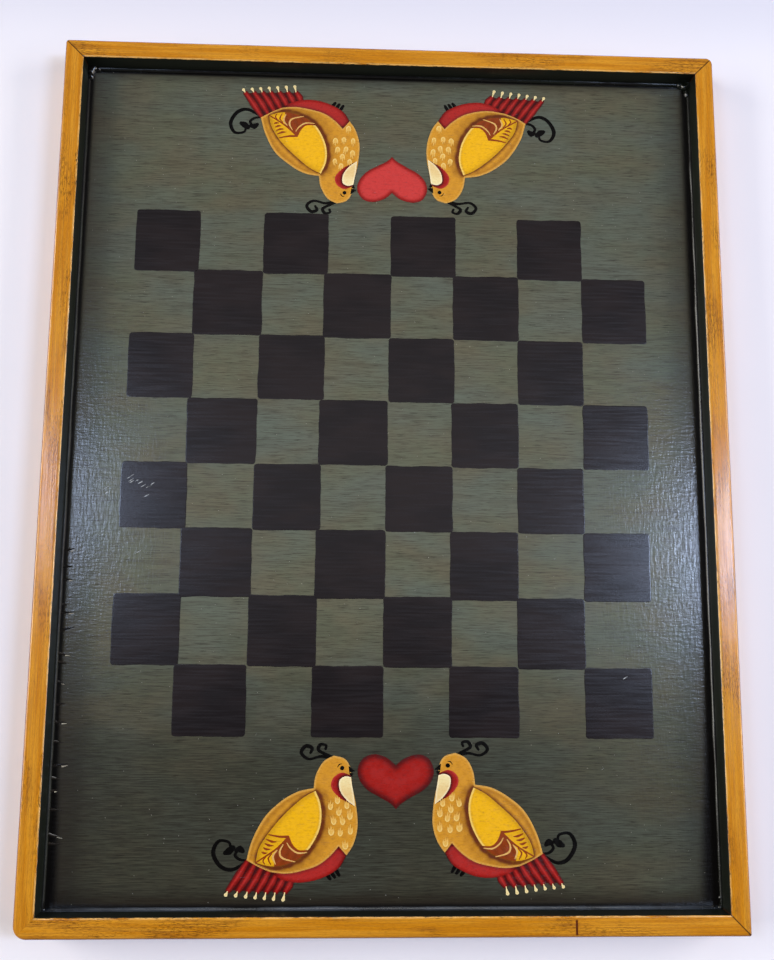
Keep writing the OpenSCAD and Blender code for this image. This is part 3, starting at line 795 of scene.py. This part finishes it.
def distance(points, line, closed=False):
    """Distance of each point to a line of points."""
    line = np.asarray(line, dtype=float)
    if closed:
        line = np.concatenate([line, line[:1]])
    best = np.full(len(points), 1e9)
    for a, b in zip(line[:-1], line[1:]):
        way = b - a
        t = np.clip((points - a) @ way / max(way @ way, 1e-12), 0, 1)[:, None]
        best = np.minimum(best, np.linalg.norm(points - a - t * way, axis=1))
    return best


def inside(points, outline):
    """True for each point inside an outline."""
    x, y = points[:, 0], points[:, 1]
    hit = np.zeros(len(points), dtype=bool)
    ring = np.asarray(outline, dtype=float)
    for (ax, ay), (bx, by) in zip(ring, np.roll(ring, -1, axis=0)):
        if ay != by:
            hit ^= ((ay > y) != (by > y)) & (x < (bx - ax) * (y - ay) / (by - ay) + ax)
    return hit


# Each bird: its end of the board, its side of the heart, its tilt in degrees, and how far down
# and out it slipped, in mm. The last number seeds the drift of the brush.
BIRDS = [(0, 1, 0.0, 0.0, 0.0, 1), (0, -1, -1.9, 1.3, 1.2, 2),
         (180, -1, -1.0, -0.8, 0.0, 3), (180, 1, 1.0, 1.2, 0.0, 4)]
BEAK_TIP = Vector((22, 0))


def on_board(xy, end, side=1, tilt=0.0, down=0.0, out=0.0, seed=0):
    """A point of the drawing on the board, in metres, for the pair at one end."""
    drift = noise.noise_vector(Vector((xy[0] * 0.06, xy[1] * 0.06, seed * 5.7 + end)))
    p = Vector(xy) + Vector(drift[:2]) * 0.5
    p = BEAK_TIP + Matrix.Rotation(math.radians(tilt), 2) @ (p - BEAK_TIP) + Vector((out, -down))
    if side * (1 if end == 0 else -1) < 0:
        p.x = -p.x
    p = Matrix.Rotation(math.radians(end), 2) @ p * MM
    return p.x + PAIR_X[end], p.y + (-BEAK_Y if end == 0 else BEAK_Y)


# How far a film's underside lies in the panel, and how much lower its edge is than its middle
FILM_SUNK = 0.03 * MM
FILM_ROUND = 0.02 * MM


def even(shade):
    """Masks of one shade all over, with no light."""
    return lambda p, edge: (np.full(len(p), shade), np.zeros(len(p)))


def paint_film(name, shapes, places, material, top, masks=even(0.0), spacing=0.9,
               where=on_board, stands_for=()):
    """A thin film of paint: every shape, filled with fine triangles, at every place. masks gives
    the shade and light of points, from where they are in the drawing and how far from the edge."""
    corners, faces, shade, light = [], [], [], []
    floor_z = PANEL_TOP - FILM_SUNK
    for shape in shapes:
        ring = np.array(shape, dtype=float)
        lo, hi = ring.min(axis=0), ring.max(axis=0)
        gx, gy = np.meshgrid(np.arange(lo[0], hi[0], spacing), np.arange(lo[1], hi[1], spacing * 0.87))
        gx[1::2] += spacing / 2
        grid = np.stack([gx.ravel(), gy.ravel()], axis=1)
        grid = grid[inside(grid, ring)]
        if len(grid):
            grid = grid[distance(grid, ring, True) > spacing * 0.45]
        points = [Vector(p) for p in np.concatenate([ring, grid])]
        loop = [(i, (i + 1) % len(ring)) for i in range(len(ring))]
        verts, _, tris, *_ = delaunay_2d_cdt(points, loop, [], 1, 1e-6)
        flat = np.array([tuple(v) for v in verts])
        edge = distance(flat, ring, True)
        dark, pale = masks(flat, edge)
        drop = FILM_ROUND * (1 - soft(edge, 0, 0.45))
        # The edges that only one triangle has are the film's border
        counts = {}
        for tri in tris:
            for a, b in zip(tri, tri[1:] + tri[:1]):
                counts[(a, b)] = counts.get((a, b), 0) + 1
        border = [(a, b) for (a, b) in counts if (b, a) not in counts]
        for place in places:
            base = len(corners)
            spot = [where(v, *place) for v in flat]
            corners += [(x, y, PANEL_TOP + top - drop[i]) for i, (x, y) in enumerate(spot)]
            corners += [(x, y, floor_z) for x, y in spot]
            n = len(flat)
            faces += [tuple(base + i for i in tri) for tri in tris]
            faces += [tuple(base + n + i for i in reversed(tri)) for tri in tris]
            faces += [(base + b, base + a, base + n + a, base + n + b) for a, b in border]
            shade += list(dark) * 2
            light += list(pale) * 2
    mesh = bpy.data.meshes.new(name)
    mesh.from_pydata(corners, [], faces)
    for label, values in (("shade", shade), ("light", light)):
        mesh.attributes.new(label, "FLOAT", "POINT").data.foreach_set("value", values)
    shell = bmesh.new()
    shell.from_mesh(mesh)
    bmesh.ops.recalc_face_normals(shell, faces=shell.faces)
    shell.to_mesh(mesh)
    shell.free()
    piece = bpy.data.objects.new(name, mesh)
    bpy.context.collection.objects.link(piece)
    smooth(piece, 40)
    finish_piece(piece, material, stands_for)


HEART_HALF = [(0, 2), (5, 6), (12, 8), (18, 6), (21, 0), (19.5, -6), (15, -11), (8, -15), (3, -18), (0, -21)]
HEART = curve(HEART_HALF) + [(-x, y) for x, y in reversed(curve(HEART_HALF)[1:] + [HEART_HALF[-1]])]


class CHECKERBOARD_OT_hearts(bpy.types.Operator):
    """Paints the two hearts, floated darker round the edge"""
    bl_idname = "checkerboard.hearts"
    bl_label = "Hearts"

    def execute(self, context):
        c = context.scene.checkerboard_colours
        top = 1.5 * context.scene.checkerboard_sizes.film
        paint = brush_paint("heart_red_paint", c.heart_red, c.heart_shade, c.heart_light)

        def near_masks(p, edge):
            return 0.9 * (1 - soft(edge, 0.2, 4.4)), 0.12 * soft(edge, 5, 9)

        def far_masks(p, edge):
            return 0.45 * (1 - soft(edge, 0.1, 2.0)), 0.9 * soft(edge, 0.5, 3)

        paint_film("near_heart_painted", [HEART], [(0,)], paint, top, near_masks,
                   stands_for=("hearts",))
        paint_film("far_heart_painted", [HEART], [(180,)], paint, top, far_masks)
        return {"FINISHED"}


# The bird faces left, as in the frame's drawing
BREAST = [(33, 9), (27, 7), (24, 2), (23, -7), (21, -18), (20.5, -29), (23, -38), (27, -44)]
BELLY_TOP = [(31, -39), (36, -44), (43, -48.5), (52, -51), (60, -52), (68, -51)]
RUMP = [(68, -51), (75, -48), (81, -44.5)]
BACK = [(81, -44.5), (78, -34), (71, -22), (62, -14), (53, -9.5), (44, -8)]
NAPE = [(44, -8), (43, -1), (39, 6), (33, 9)]
BODY = curve(BREAST) + [BREAST[-1]] + curve(BELLY_TOP) + curve(RUMP) + curve(BACK) + curve(NAPE)
BELLY_BOTTOM = [(27, -44), (31, -50), (38, -54), (46, -56.5), (54, -57), (62, -55), (68, -51)]
BELLY = curve(BELLY_BOTTOM) + [(68, -51), (62, -49), (44, -42), (32.5, -37)]

WING_FRONT = [(43, -9.5), (40.6, -16), (40.2, -23), (42, -31), (47, -39.5), (53, -44.5)]
WING_UNDER = [(53, -44.5), (60, -47.2), (68, -48), (76, -46)]
WING_TOP = [(76, -46), (74, -38), (67, -28), (59, -20), (50, -13), (43, -9.5)]
WING = curve(WING_FRONT) + curve(WING_UNDER) + curve(WING_TOP)
NOTCH = (58.5, -33)
PATCH_TOP = [(48, -40.6), (53, -40.5), (56.5, -37.5), NOTCH]
PATCH = (curve(PATCH_TOP) + [NOTCH, (63, -37), (66.3, -41.5), (66, -47.6)]
         + [p for p in reversed(curve(WING_UNDER)) if p[0] < 66]
         + [p for p in reversed(curve(WING_FRONT)) if p[1] < -40.6])
BARRED_RIM = [NOTCH, (64, -32.6), (69, -31.5)]
CHEEK_TOP = [(23.6, -3), (27, -2.4), (30, -4.5), (29.5, -10), (26, -15), (21.6, -18.5)]
CHEEK = curve(CHEEK_TOP) + [CHEEK_TOP[-1], (22.2, -12), (23.2, -6)]
BIB_OUT = [(23.8, -2), (29, -0.2), (33.5, -3), (34.3, -8), (30, -13.5), (22.6, -18)]
BIB = curve(BIB_OUT) + [BIB_OUT[-1]] + [p for p in reversed(curve(CHEEK_TOP)) if p[0] > 23]
FEATHERS = 7


def feather_root(i):
    """Where a tail feather leaves the body, counted from the belly."""
    return 56.5 + 3.9 * i, -55 + 1.8 * i


def feather_tip(i):
    """Where a tail feather ends."""
    return 59.9 + 5.15 * i, -61.2 + 0.25 * i


def coat(node, shapes, material, top, masks=even(0.0), spacing=0.8):
    """One coat on all four birds, in place of the frame's node."""
    paint_film(node + "_painted", shapes, BIRDS, material, top, masks, spacing, stands_for=(node,))


def paint_tails(film, red, cream):
    """A dark fan, seven feathers on it and a drop of cream past each."""
    fan = [feather_root(0), *[feather_tip(i) for i in range(FEATHERS)], feather_root(FEATHERS - 1), (70, -42)]
    paint_film("tail_shadow", [fan], BIRDS, red, film, even(1.0))

    quills = [np.array([feather_root(i), feather_tip(i)]) for i in range(FEATHERS)]
    feathers = []
    for root, tip in quills:
        waist = (0.5 * (root[0] + tip[0]) - 0.3, 0.5 * (root[1] + tip[1]))
        feathers.append(stroke([tuple(root), waist, tuple(tip)], [2.2, 4.4, 3.0], 7))

    def feather_masks(p, edge):
        quill = np.min([distance(p, q) for q in quills], axis=0)
        root = 1 - soft(np.min([np.linalg.norm(p - q[0], axis=1) for q in quills], axis=0), 0, 3)
        dark = np.maximum(0.95 * (1 - soft(edge, 0.1, 1.2)), 0.5 * root)
        groove = 0.55 * (1 - soft(np.abs(quill - 0.9), 0.1, 0.5))
        return np.maximum(dark, groove), 0.4 * soft(edge, 1.0, 2.0)

    coat("bird_tails", feathers, red, 1.6 * film, feather_masks, 0.5)

    # The drops shorten from the lowest feather to the highest
    drops = []
    for i in range(FEATHERS):
        x, y = feather_tip(i)
        reach = 1 - 0.55 * i / (FEATHERS - 1)
        line = [(x + 0.5, y - 0.6), (x + 0.8, y - 0.6 - 1.6 * reach), (x + 1.3, y - 0.6 - 3.4 * reach)]
        drops.append(stroke(line, [0.6, 0.6, 1.2, 1.9], 6))

    def drop_masks(p, edge):
        return 0.5 * soft(edge, 0.35, 0.9), np.zeros(len(p))

    coat("tail_tips", drops, cream, 2.4 * film, drop_masks, 0.5)


def paint_scrolls(film, black):
    """Black scrolls behind the tail and over the head, and three strokes for legs."""
    scrolls = [stroke([(82, -46), (89, -49.3), (95, -47), (98.8, -40), (96, -34), (90.5, -34.5), (89.5, -38)],
                      [1.5, 2.1, 2.3, 1.5, 1.2]),
               stroke([(80, -44.8), (84.5, -44), (87, -41.5), (85.8, -39)], [1.3, 1.6, 1.6]),
               stroke([(88.4, -37.6), (90.4, -39.2), (92.2, -40.0)], [3.0, 4.0, 2.4]),
               stroke([(83.0, -39.6), (84.6, -38.4), (86.4, -38.8)], [2.2, 3.8, 2.2])]
    coat("tail_curls", scrolls, black, 1.3 * film)
    crest = [stroke([(34, 7.6), (38, 10.2), (41.5, 12.5), (40, 15.2), (37, 14.6), (37.4, 12.8)],
                    [2.6, 1.5, 2.0, 1.3, 1.4]),
             stroke([(34, 7.6), (40, 9), (47, 7.8), (51, 11), (48.5, 14.5), (45, 13.5), (46, 11)],
                    [2.0, 1.3, 1.8, 2.1, 1.3])]
    coat("crest_curls", crest, black, 1.3 * film)
    legs = [stroke([(33.4 + 2.3 * i, -50.0 - 1.3 * i), (31.0 + 2.4 * i, -54.0 - 0.8 * i)], [1.3, 2.0, 1.5])
            for i in range(3)]
    coat("bird_legs", legs, black, 1.3 * film)


def paint_bodies(film, red, ochre):
    """The red belly, and the ochre body floated brown round the wing."""
    belly_top, back = curve(BELLY_TOP), curve(BACK)
    wing_low, wing_high = curve(WING_FRONT) + curve(WING_UNDER), curve(WING_TOP)

    def belly_masks(p, edge):
        dark = 0.85 * (1 - soft(distance(p, belly_top), 0.3, 2.0))
        dark += 0.5 * (1 - soft(p[:, 0], 27, 36)) + 0.5 * (1 - soft(edge, 0.1, 0.8))
        return np.clip(dark, 0, 1), 0.3 * soft(edge, 1, 2)

    coat("bird_bellies", [BELLY], red, 1.9 * film, belly_masks, 0.7)

    def body_masks(p, edge):
        below, above = distance(p, wing_low), distance(p, wing_high)
        float_low = 1.0 * (1 - soft(below, 0.5, 3.4)) + 0.4 * (1 - soft(below, 2, 9))
        float_high = 0.7 * (1 - soft(above, 0.4, 2.6))
        dark = np.where(below < above, float_low, float_high) * soft(edge, 0.2, 1.2) * soft(-p[:, 1], 5, 12)
        spine = 0.35 * (1 - soft(distance(p, back), 1.5, 5)) * soft(edge, 0.8, 1.6)
        line = 0.65 * (1 - soft(edge, 0.1, 0.45))
        blotch = 0.12 * np.sin(p[:, 0] * 0.9 + 2) * np.sin(p[:, 1] * 0.7) * soft(edge, 1, 3)
        dark = np.clip(np.maximum(np.maximum(dark, spine), line) + blotch, 0, 1)
        return dark, 0.5 * (1 - soft(edge, 0.4, 1.2))

    coat("bird_bodies", [BODY], ochre, 2.6 * film, body_masks, 0.7)


def paint_heads(film, red, cream, black):
    """Two beak strokes, an eye under its brow, and a cream cheek above a red bib."""
    beak = [[(25.0, 3.2), (21.4, 0.1), (24.6, -0.5)], [(24.6, -0.6), (22.4, -0.9), (23.6, -3.8)]]
    coat("bird_beaks", beak, black, 3.0 * film)
    eyes = [disc((28.6, 2.2), 1.2), stroke([(28.5, 4.5), (30.1, 4.2), (31.1, 2.8)], [0.2, 0.6, 0.3])]
    coat("bird_eyes", eyes, black, 3.3 * film, spacing=0.5)
    cheek_top = curve(CHEEK_TOP)

    def bib_masks(p, edge):
        near = distance(p, cheek_top)
        return 0.9 * (1 - soft(near, 0.2, 2.0)), 0.45 * (1 - soft(edge, 0.5, 1.2)) * soft(near, 2, 3)

    coat("bird_bibs", [BIB], red, 3.2 * film, bib_masks, 0.5)

    def cheek_masks(p, edge):
        return 0.35 * soft(-p[:, 1], 4, 12), 0.5 * (1 - soft(edge, 0.3, 1.0))

    coat("bird_cheeks", [CHEEK], cream, 3.6 * film, cheek_masks, 0.6)


def paint_breasts(film, dabs):
    """Breast feathers: dabs with three points at the top and a pale rounded foot."""
    rng = random.Random(7)
    dots = np.array([(31, -15), (26, -18), (35, -18), (30.5, -21), (24.5, -23.5), (28.5, -26),
                     (33.5, -25.5), (24.5, -31.5), (30, -32), (35, -31), (27.5, -39)])
    under = np.radians(range(180, 361, 20))
    marks = []
    for x, y in dots:
        half, tall, lean = rng.uniform(1.3, 1.7), rng.uniform(3.0, 4.4), rng.uniform(-0.5, 0.5)
        foot = [(x + half * math.cos(a), y + 1.25 * half * math.sin(a)) for a in under]
        points = [(x + half * 0.9 + lean, y + tall * 0.8), (x + half * 0.4, y + tall * 0.35),
                  (x + lean, y + tall), (x - half * 0.3, y + tall * 0.3),
                  (x - half * 0.9 + lean, y + tall * 0.6)]
        marks.append(foot + points)

    def dab_masks(p, edge):
        gaps = np.linalg.norm(p[:, None] - dots[None], axis=2)
        above = p[:, 1] - dots[gaps.argmin(axis=1), 1]
        rim = (1 - soft(edge, 0.3, 0.8)) * (1 - soft(above, -0.4, 1.6))
        return 0.4 * soft(above, -0.9, 2.6) * soft(edge, 0, 0.5) + 0.25 * (1 - rim), 0.75 * rim

    coat("breast_feathers", marks, dabs, 3.3 * film, dab_masks, 0.45)


def paint_wings(film, ochre, yellow, brown, cream):
    """The wing on its outline, its brown patch, bars and rims, and pale scallops on the patch."""
    outline = stroke(WING + WING[:1], [1.1, 1.1], 1)
    paint_film("wing_outline", [outline], BIRDS, ochre, 3.3 * film, even(0.9), 0.6)
    wing_front, wing_high = curve(WING_FRONT), curve(WING_TOP)

    def wing_masks(p, edge):
        barred = inside(p, [NOTCH, (69.5, -31), (75, -38), (76, -46)])
        rim = 1 - soft(distance(p, wing_front), 0.7, 1.2)
        dark = 0.2 * (1 - soft(edge, 0.5, 2.5)) + 0.1 * (1 - soft(distance(p, wing_high), 0.5, 5))
        return dark + 0.12 * barred, 0.85 * rim

    coat("bird_wings", [WING], yellow, 3.7 * film, wing_masks, 0.6)

    bars = [stroke([(65 + 1.6 * k, -35.4 - 1.9 * k), (67.5 + 1.3 * k, -35.2 - 2.0 * k),
                    (70.2 + 0.8 * k, -34 - 2.2 * k)], [0.3, 1.3, 0.6], 6) for k in range(4)]
    rims = [stroke(points, widths, 5) for points, widths in (
        (BARRED_RIM, [1.3, 1.1, 0.6]), ([NOTCH, (66, -39.8), (76, -46)], [0.9, 1.0, 0.7]),
        (PATCH_TOP, [0.5, 0.9, 1.2]), ([(67.4, -41.6), (69.2, -44), (67.8, -47.2)], [0.5, 0.9, 0.5]),
        ([(70.4, -43.2), (72, -45), (71.2, -46.9)], [0.4, 0.8, 0.5]))]

    def patch_masks(p, edge):
        streak = np.sin(p[:, 0] * 1.3 + p[:, 1] * 0.6)
        return np.clip(0.15 + 0.25 * streak, 0, 1) * soft(edge, 0.4, 1.0), np.zeros(len(p))

    coat("wing_patches", [PATCH, *bars, *rims], brown, 4.2 * film, patch_masks, 0.6)

    scallops = [stroke(points, widths, 6) for points, widths in (
        ([(48.4, -41.6), (53.5, -41.6), (57.4, -38.9), (59.3, -36)], [0.4, 0.9, 0.8, 0.4]),
        ([(61.4, -36.8), (63.2, -40.4), (61.8, -43.8), (55, -46)], [0.4, 1.0, 1.0, 0.4]),
        ([(64.6, -39.6), (66.8, -43), (65.4, -46.9)], [0.4, 1.1, 0.5]))]
    coat("wing_scallops", scallops, cream, 4.8 * film, even(0.7), 0.5)


class CHECKERBOARD_OT_birds(bpy.types.Operator):
    """Paints the four birds, coat over coat"""
    bl_idname = "checkerboard.birds"
    bl_label = "Birds"

    def execute(self, context):
        c = context.scene.checkerboard_colours
        film = context.scene.checkerboard_sizes.film
        red = brush_paint("bird_red_paint", c.heart_red, c.heart_shade, c.heart_light)
        ochre = brush_paint("bird_ochre_paint", c.body_ochre, c.body_shade, c.body_light)
        yellow = brush_paint("wing_yellow_paint", c.wing_yellow, c.body_shade, c.wing_light)
        brown = brush_paint("wing_brown_paint", c.wing_brown, c.body_shade, c.wing_light)
        cream = brush_paint("cream_paint", c.cream, c.body_ochre, linear("#f6ecc8"))
        dabs = brush_paint("feather_dab_paint", linear("#ddb056"), c.body_ochre, linear("#e8ca7c"))
        black = dark_paint("black_line_paint", c.line_black, c.edge_black, (500, 500, 500), 0.2, 0.00001, 1.3)
        paint_tails(film, red, cream)
        paint_scrolls(film, black)
        paint_bodies(film, red, ochre)
        paint_heads(film, red, cream, black)
        paint_breasts(film, dabs)
        paint_wings(film, ochre, yellow, brown, cream)
        return {"FINISHED"}


# ---- wear ---------------------------------------------------------------------------

# Bundles of short scratches, from beside the squares at the left to one at the lower right: the
# middle of each in mm, and how many
SCRATCHES = [(-145, -11, 6), (-137, -15, 5), (-164, -14, 3), (-142.5, -49, 1), (135, -118, 1)]

# The corners of the frame and how much filler is in each
FILLED_CORNERS = [(-1, 1, 1.0), (1, 1, 1.15), (1, -1, 0.55), (-1, -1, 0.35)]
# The lumps of filler in a corner: how far each is from the two rails, and its radius, in mm
LUMPS = [(0.4, 0.4, 4.6), (4.8, 0.4, 2.4), (0.4, 5.6, 2.6)]


def scuff_paint():
    """Varnish crazed white along fine scratches."""
    material, add = new_material("scuffed_varnish")
    place = add("TexCoord").outputs["Object"]
    crazed = streaks(add, place, (900, 900, 900), 3.0)
    colour = add(BLEND, add(RAMP, crazed, 0.35, 0.6), linear("#6f7170"), linear("#b9bcba"))
    close_material(add, colour, 0.5, crazed, 0.00003, IOR=VARNISH_IOR)
    return material


def filler_lump(centre, radius):
    """A low lump of filler, half sunk in the panel and uneven all over."""
    bpy.ops.object.select_all(action="DESELECT")
    bpy.ops.mesh.primitive_ico_sphere_add(subdivisions=4, radius=radius, scale=(1, 1, 0.75), location=centre)
    lump = start_piece("corner_lump")
    bpy.ops.object.mode_set(mode="OBJECT")
    for vertex in lump.data.vertices:
        p = vertex.co
        # Swells 4 mm wide and ripples of 1 mm
        p += (p - centre) * (noise.noise(p * 230) * 0.35 + noise.noise(p * 900) * 0.04)
    return lump


class CHECKERBOARD_OT_wear(bpy.types.Operator):
    """Adds the scratches of use and the lumps of filler in the corners"""
    bl_idname = "checkerboard.wear"
    bl_label = "Wear"

    def execute(self, context):
        colours = context.scene.checkerboard_colours
        rng = random.Random(3)
        scratches = []
        for cx, cy, count in SCRATCHES:
            for _ in range(count):
                x, y = cx + rng.uniform(-4, 4), cy + rng.uniform(-4, 4)
                length = rng.uniform(0.7, 1.6)
                line = [(x - length, y - 0.5 * length), (x, y + 0.1), (x + length, y + 0.7 * length)]
                scratches.append(stroke(line, [0.15, 0.5, 0.15], 3, 3))
        paint_film("varnish_scratches", scratches, [()], scuff_paint(), 0.13 * MM,
                   spacing=0.6, where=lambda xy: (xy[0] * MM, xy[1] * MM))

        filler = dark_paint("corner_filler", colours.edge_black, colours.wall_green, (300, 300, 300), 0.12)
        lumps = []
        for sx, sy, size in FILLED_CORNERS:
            for dx, dy, radius in LUMPS:
                centre = Vector((sx * (INNER_W - dx * MM), sy * (INNER_L - dy * MM), PANEL_TOP))
                lumps.append(filler_lump(centre, radius * size * MM))
        joined = join_as("corner_filler", lumps)
        smooth(joined, 60)
        finish_piece(joined, filler)
        return {"FINISHED"}


# ---- hardware and stage -------------------------------------------------------------

class CHECKERBOARD_OT_brads(bpy.types.Operator):
    """Finishes the brads and the putty over their heads"""
    bl_idname = "checkerboard.brads"
    bl_label = "Brads and putty"

    def execute(self, context):
        c = context.scene.checkerboard_colours
        wire = brad_wire()
        putty = dark_paint("painted_putty", c.rail_stain, c.rail_ochre, (700, 700, 700))
        for names, material in ((("corner_brads", "panel_brads"), wire), (("putty_plugs",), putty)):
            for name in names:
                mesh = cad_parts[name].data
                mesh.materials.clear()
                mesh.materials.append(material)
        return {"FINISHED"}


# Each light: name, place, target, size, power in watts and colour
LIGHTS = [("window_left", (-0.77, 0.17, 1.45), (-0.15, 0.0, 0), (0.24, 0.36), 4.6, "#c6daff"),
          ("window_right", (0.965, 0.08, 1.45), (0.15, -0.03, 0), (0.26, 0.46), 12.6, "#c6daff"),
          ("side_left", (-2.3, 0.3, 0.95), (0, 0, 0), (1.8, 1.2), 68, "#fffaf2"),
          ("side_right", (2.3, 0.2, 0.95), (0, 0, 0), (1.8, 1.2), 58, "#fff8f2"),
          ("far_end", (0.1, 2.3, 0.72), (0, 0, 0), (1.5, 0.32), 7, "#ffffff")]

# The camera stands over the near half of the board and looks down, tilted about 8 degrees
# towards the far end and 2 degrees to the right
CAMERA_PLACE = Vector((-0.02202, -0.08893, 0.54732 + PANEL_TOP))
CAMERA_FORWARD = Vector((0.03725, 0.14652, -0.98851))
CAMERA_RIGHT = Vector((0.99923, 0.0071, 0.0387))


def room_light(scene):
    """A pale ceiling, brightest straight overhead and dim where someone leans over the board."""
    world = bpy.data.worlds.new("soft_room")
    world.use_nodes = True
    world.node_tree.nodes.clear()
    add = partial(add_node, world.node_tree)
    way = add("TexCoord").outputs["Generated"]

    def patch(direction, near, far):
        """1 within near degrees of a direction, fading to 0 at far degrees."""
        cosine = add("VectorMath.DOT_PRODUCT", way, Vector(direction).normalized())
        return add(RAMP, cosine, math.cos(math.radians(far)), math.cos(math.radians(near)))

    ceiling = add("Math.MULTIPLY_ADD", patch((0.05, 0.05, 1), 3, 22), 0.28, 0.19)
    person = add("Math.MULTIPLY_ADD", patch((0.02, -0.36, 1), 15, 25), -0.95, 1.0)
    strength = add("Math.MULTIPLY", ceiling, person)
    add("OutputWorld", Surface=add("Background", Color=linear("#f4f0f2"), Strength=strength))
    scene.world = world


class CHECKERBOARD_OT_stage(bpy.types.Operator):
    """Sets the floor, the lights and the camera"""
    bl_idname = "checkerboard.stage"
    bl_label = "Stage"

    def execute(self, context):
        bpy.ops.object.select_all(action="DESELECT")
        bpy.ops.mesh.primitive_plane_add(size=6, location=(0, 0, 0))
        floor = context.object
        floor.name = "floor"
        floor.data.materials.append(linen_floor())

        scene = context.scene
        scene.view_settings.view_transform = "Standard"
        room_light(scene)
        for name, place, target, size, power, colour in LIGHTS:
            data = bpy.data.lights.new(name, "AREA")
            data.shape = "RECTANGLE"
            data.size, data.size_y = size
            data.energy = power
            data.color = linear(colour)[:3]
            lamp = bpy.data.objects.new(name, data)
            lamp.location = place
            lamp.rotation_euler = (Vector(target) - Vector(place)).to_track_quat("-Z", "Y").to_euler()
            context.collection.objects.link(lamp)

        data = bpy.data.cameras.new("camera")
        data.lens = data.sensor_width = 36
        camera = bpy.data.objects.new("camera", data)
        forward = CAMERA_FORWARD.normalized()
        right = (CAMERA_RIGHT - forward * CAMERA_RIGHT.dot(forward)).normalized()
        turn = Matrix((right, right.cross(forward), -forward)).transposed().to_4x4()
        camera.matrix_world = Matrix.Translation(CAMERA_PLACE) @ turn
        context.collection.objects.link(camera)
        scene.camera = camera
        return {"FINISHED"}


# ---- add-on -------------------------------------------------------------------------

OPERATORS = [CHECKERBOARD_OT_stage, CHECKERBOARD_OT_rails, CHECKERBOARD_OT_beads, CHECKERBOARD_OT_panel,
             CHECKERBOARD_OT_squares, CHECKERBOARD_OT_hearts, CHECKERBOARD_OT_birds, CHECKERBOARD_OT_wear,
             CHECKERBOARD_OT_brads]


class CHECKERBOARD_PT_pieces(bpy.types.Panel):
    """Lists the pieces of the checkerboard, with their sizes and colours"""
    bl_label = "Checkerboard"
    bl_space_type = "VIEW_3D"
    bl_region_type = "UI"
    bl_category = "Checkerboard"

    def draw(self, context):
        for operator in OPERATORS:
            self.layout.operator(operator.bl_idname)
        for group in (context.scene.checkerboard_sizes, context.scene.checkerboard_colours):
            for name in group.bl_rna.properties.keys():
                if name not in ("rna_type", "name"):
                    self.layout.prop(group, name)


CLASSES = [CheckerboardSizes, CheckerboardColours, *OPERATORS, CHECKERBOARD_PT_pieces]


def register():
    for made in CLASSES:
        bpy.utils.register_class(made)
    bpy.types.Scene.checkerboard_sizes = bpy.props.PointerProperty(type=CheckerboardSizes)
    bpy.types.Scene.checkerboard_colours = bpy.props.PointerProperty(type=CheckerboardColours)


def unregister():
    del bpy.types.Scene.checkerboard_colours
    del bpy.types.Scene.checkerboard_sizes
    for made in reversed(CLASSES):
        bpy.utils.unregister_class(made)


def main():
    register()
    for operator in OPERATORS:
        group, name = operator.bl_idname.split(".")
        getattr(getattr(bpy.ops, group), name)()


if __name__ == "__main__":
    main()
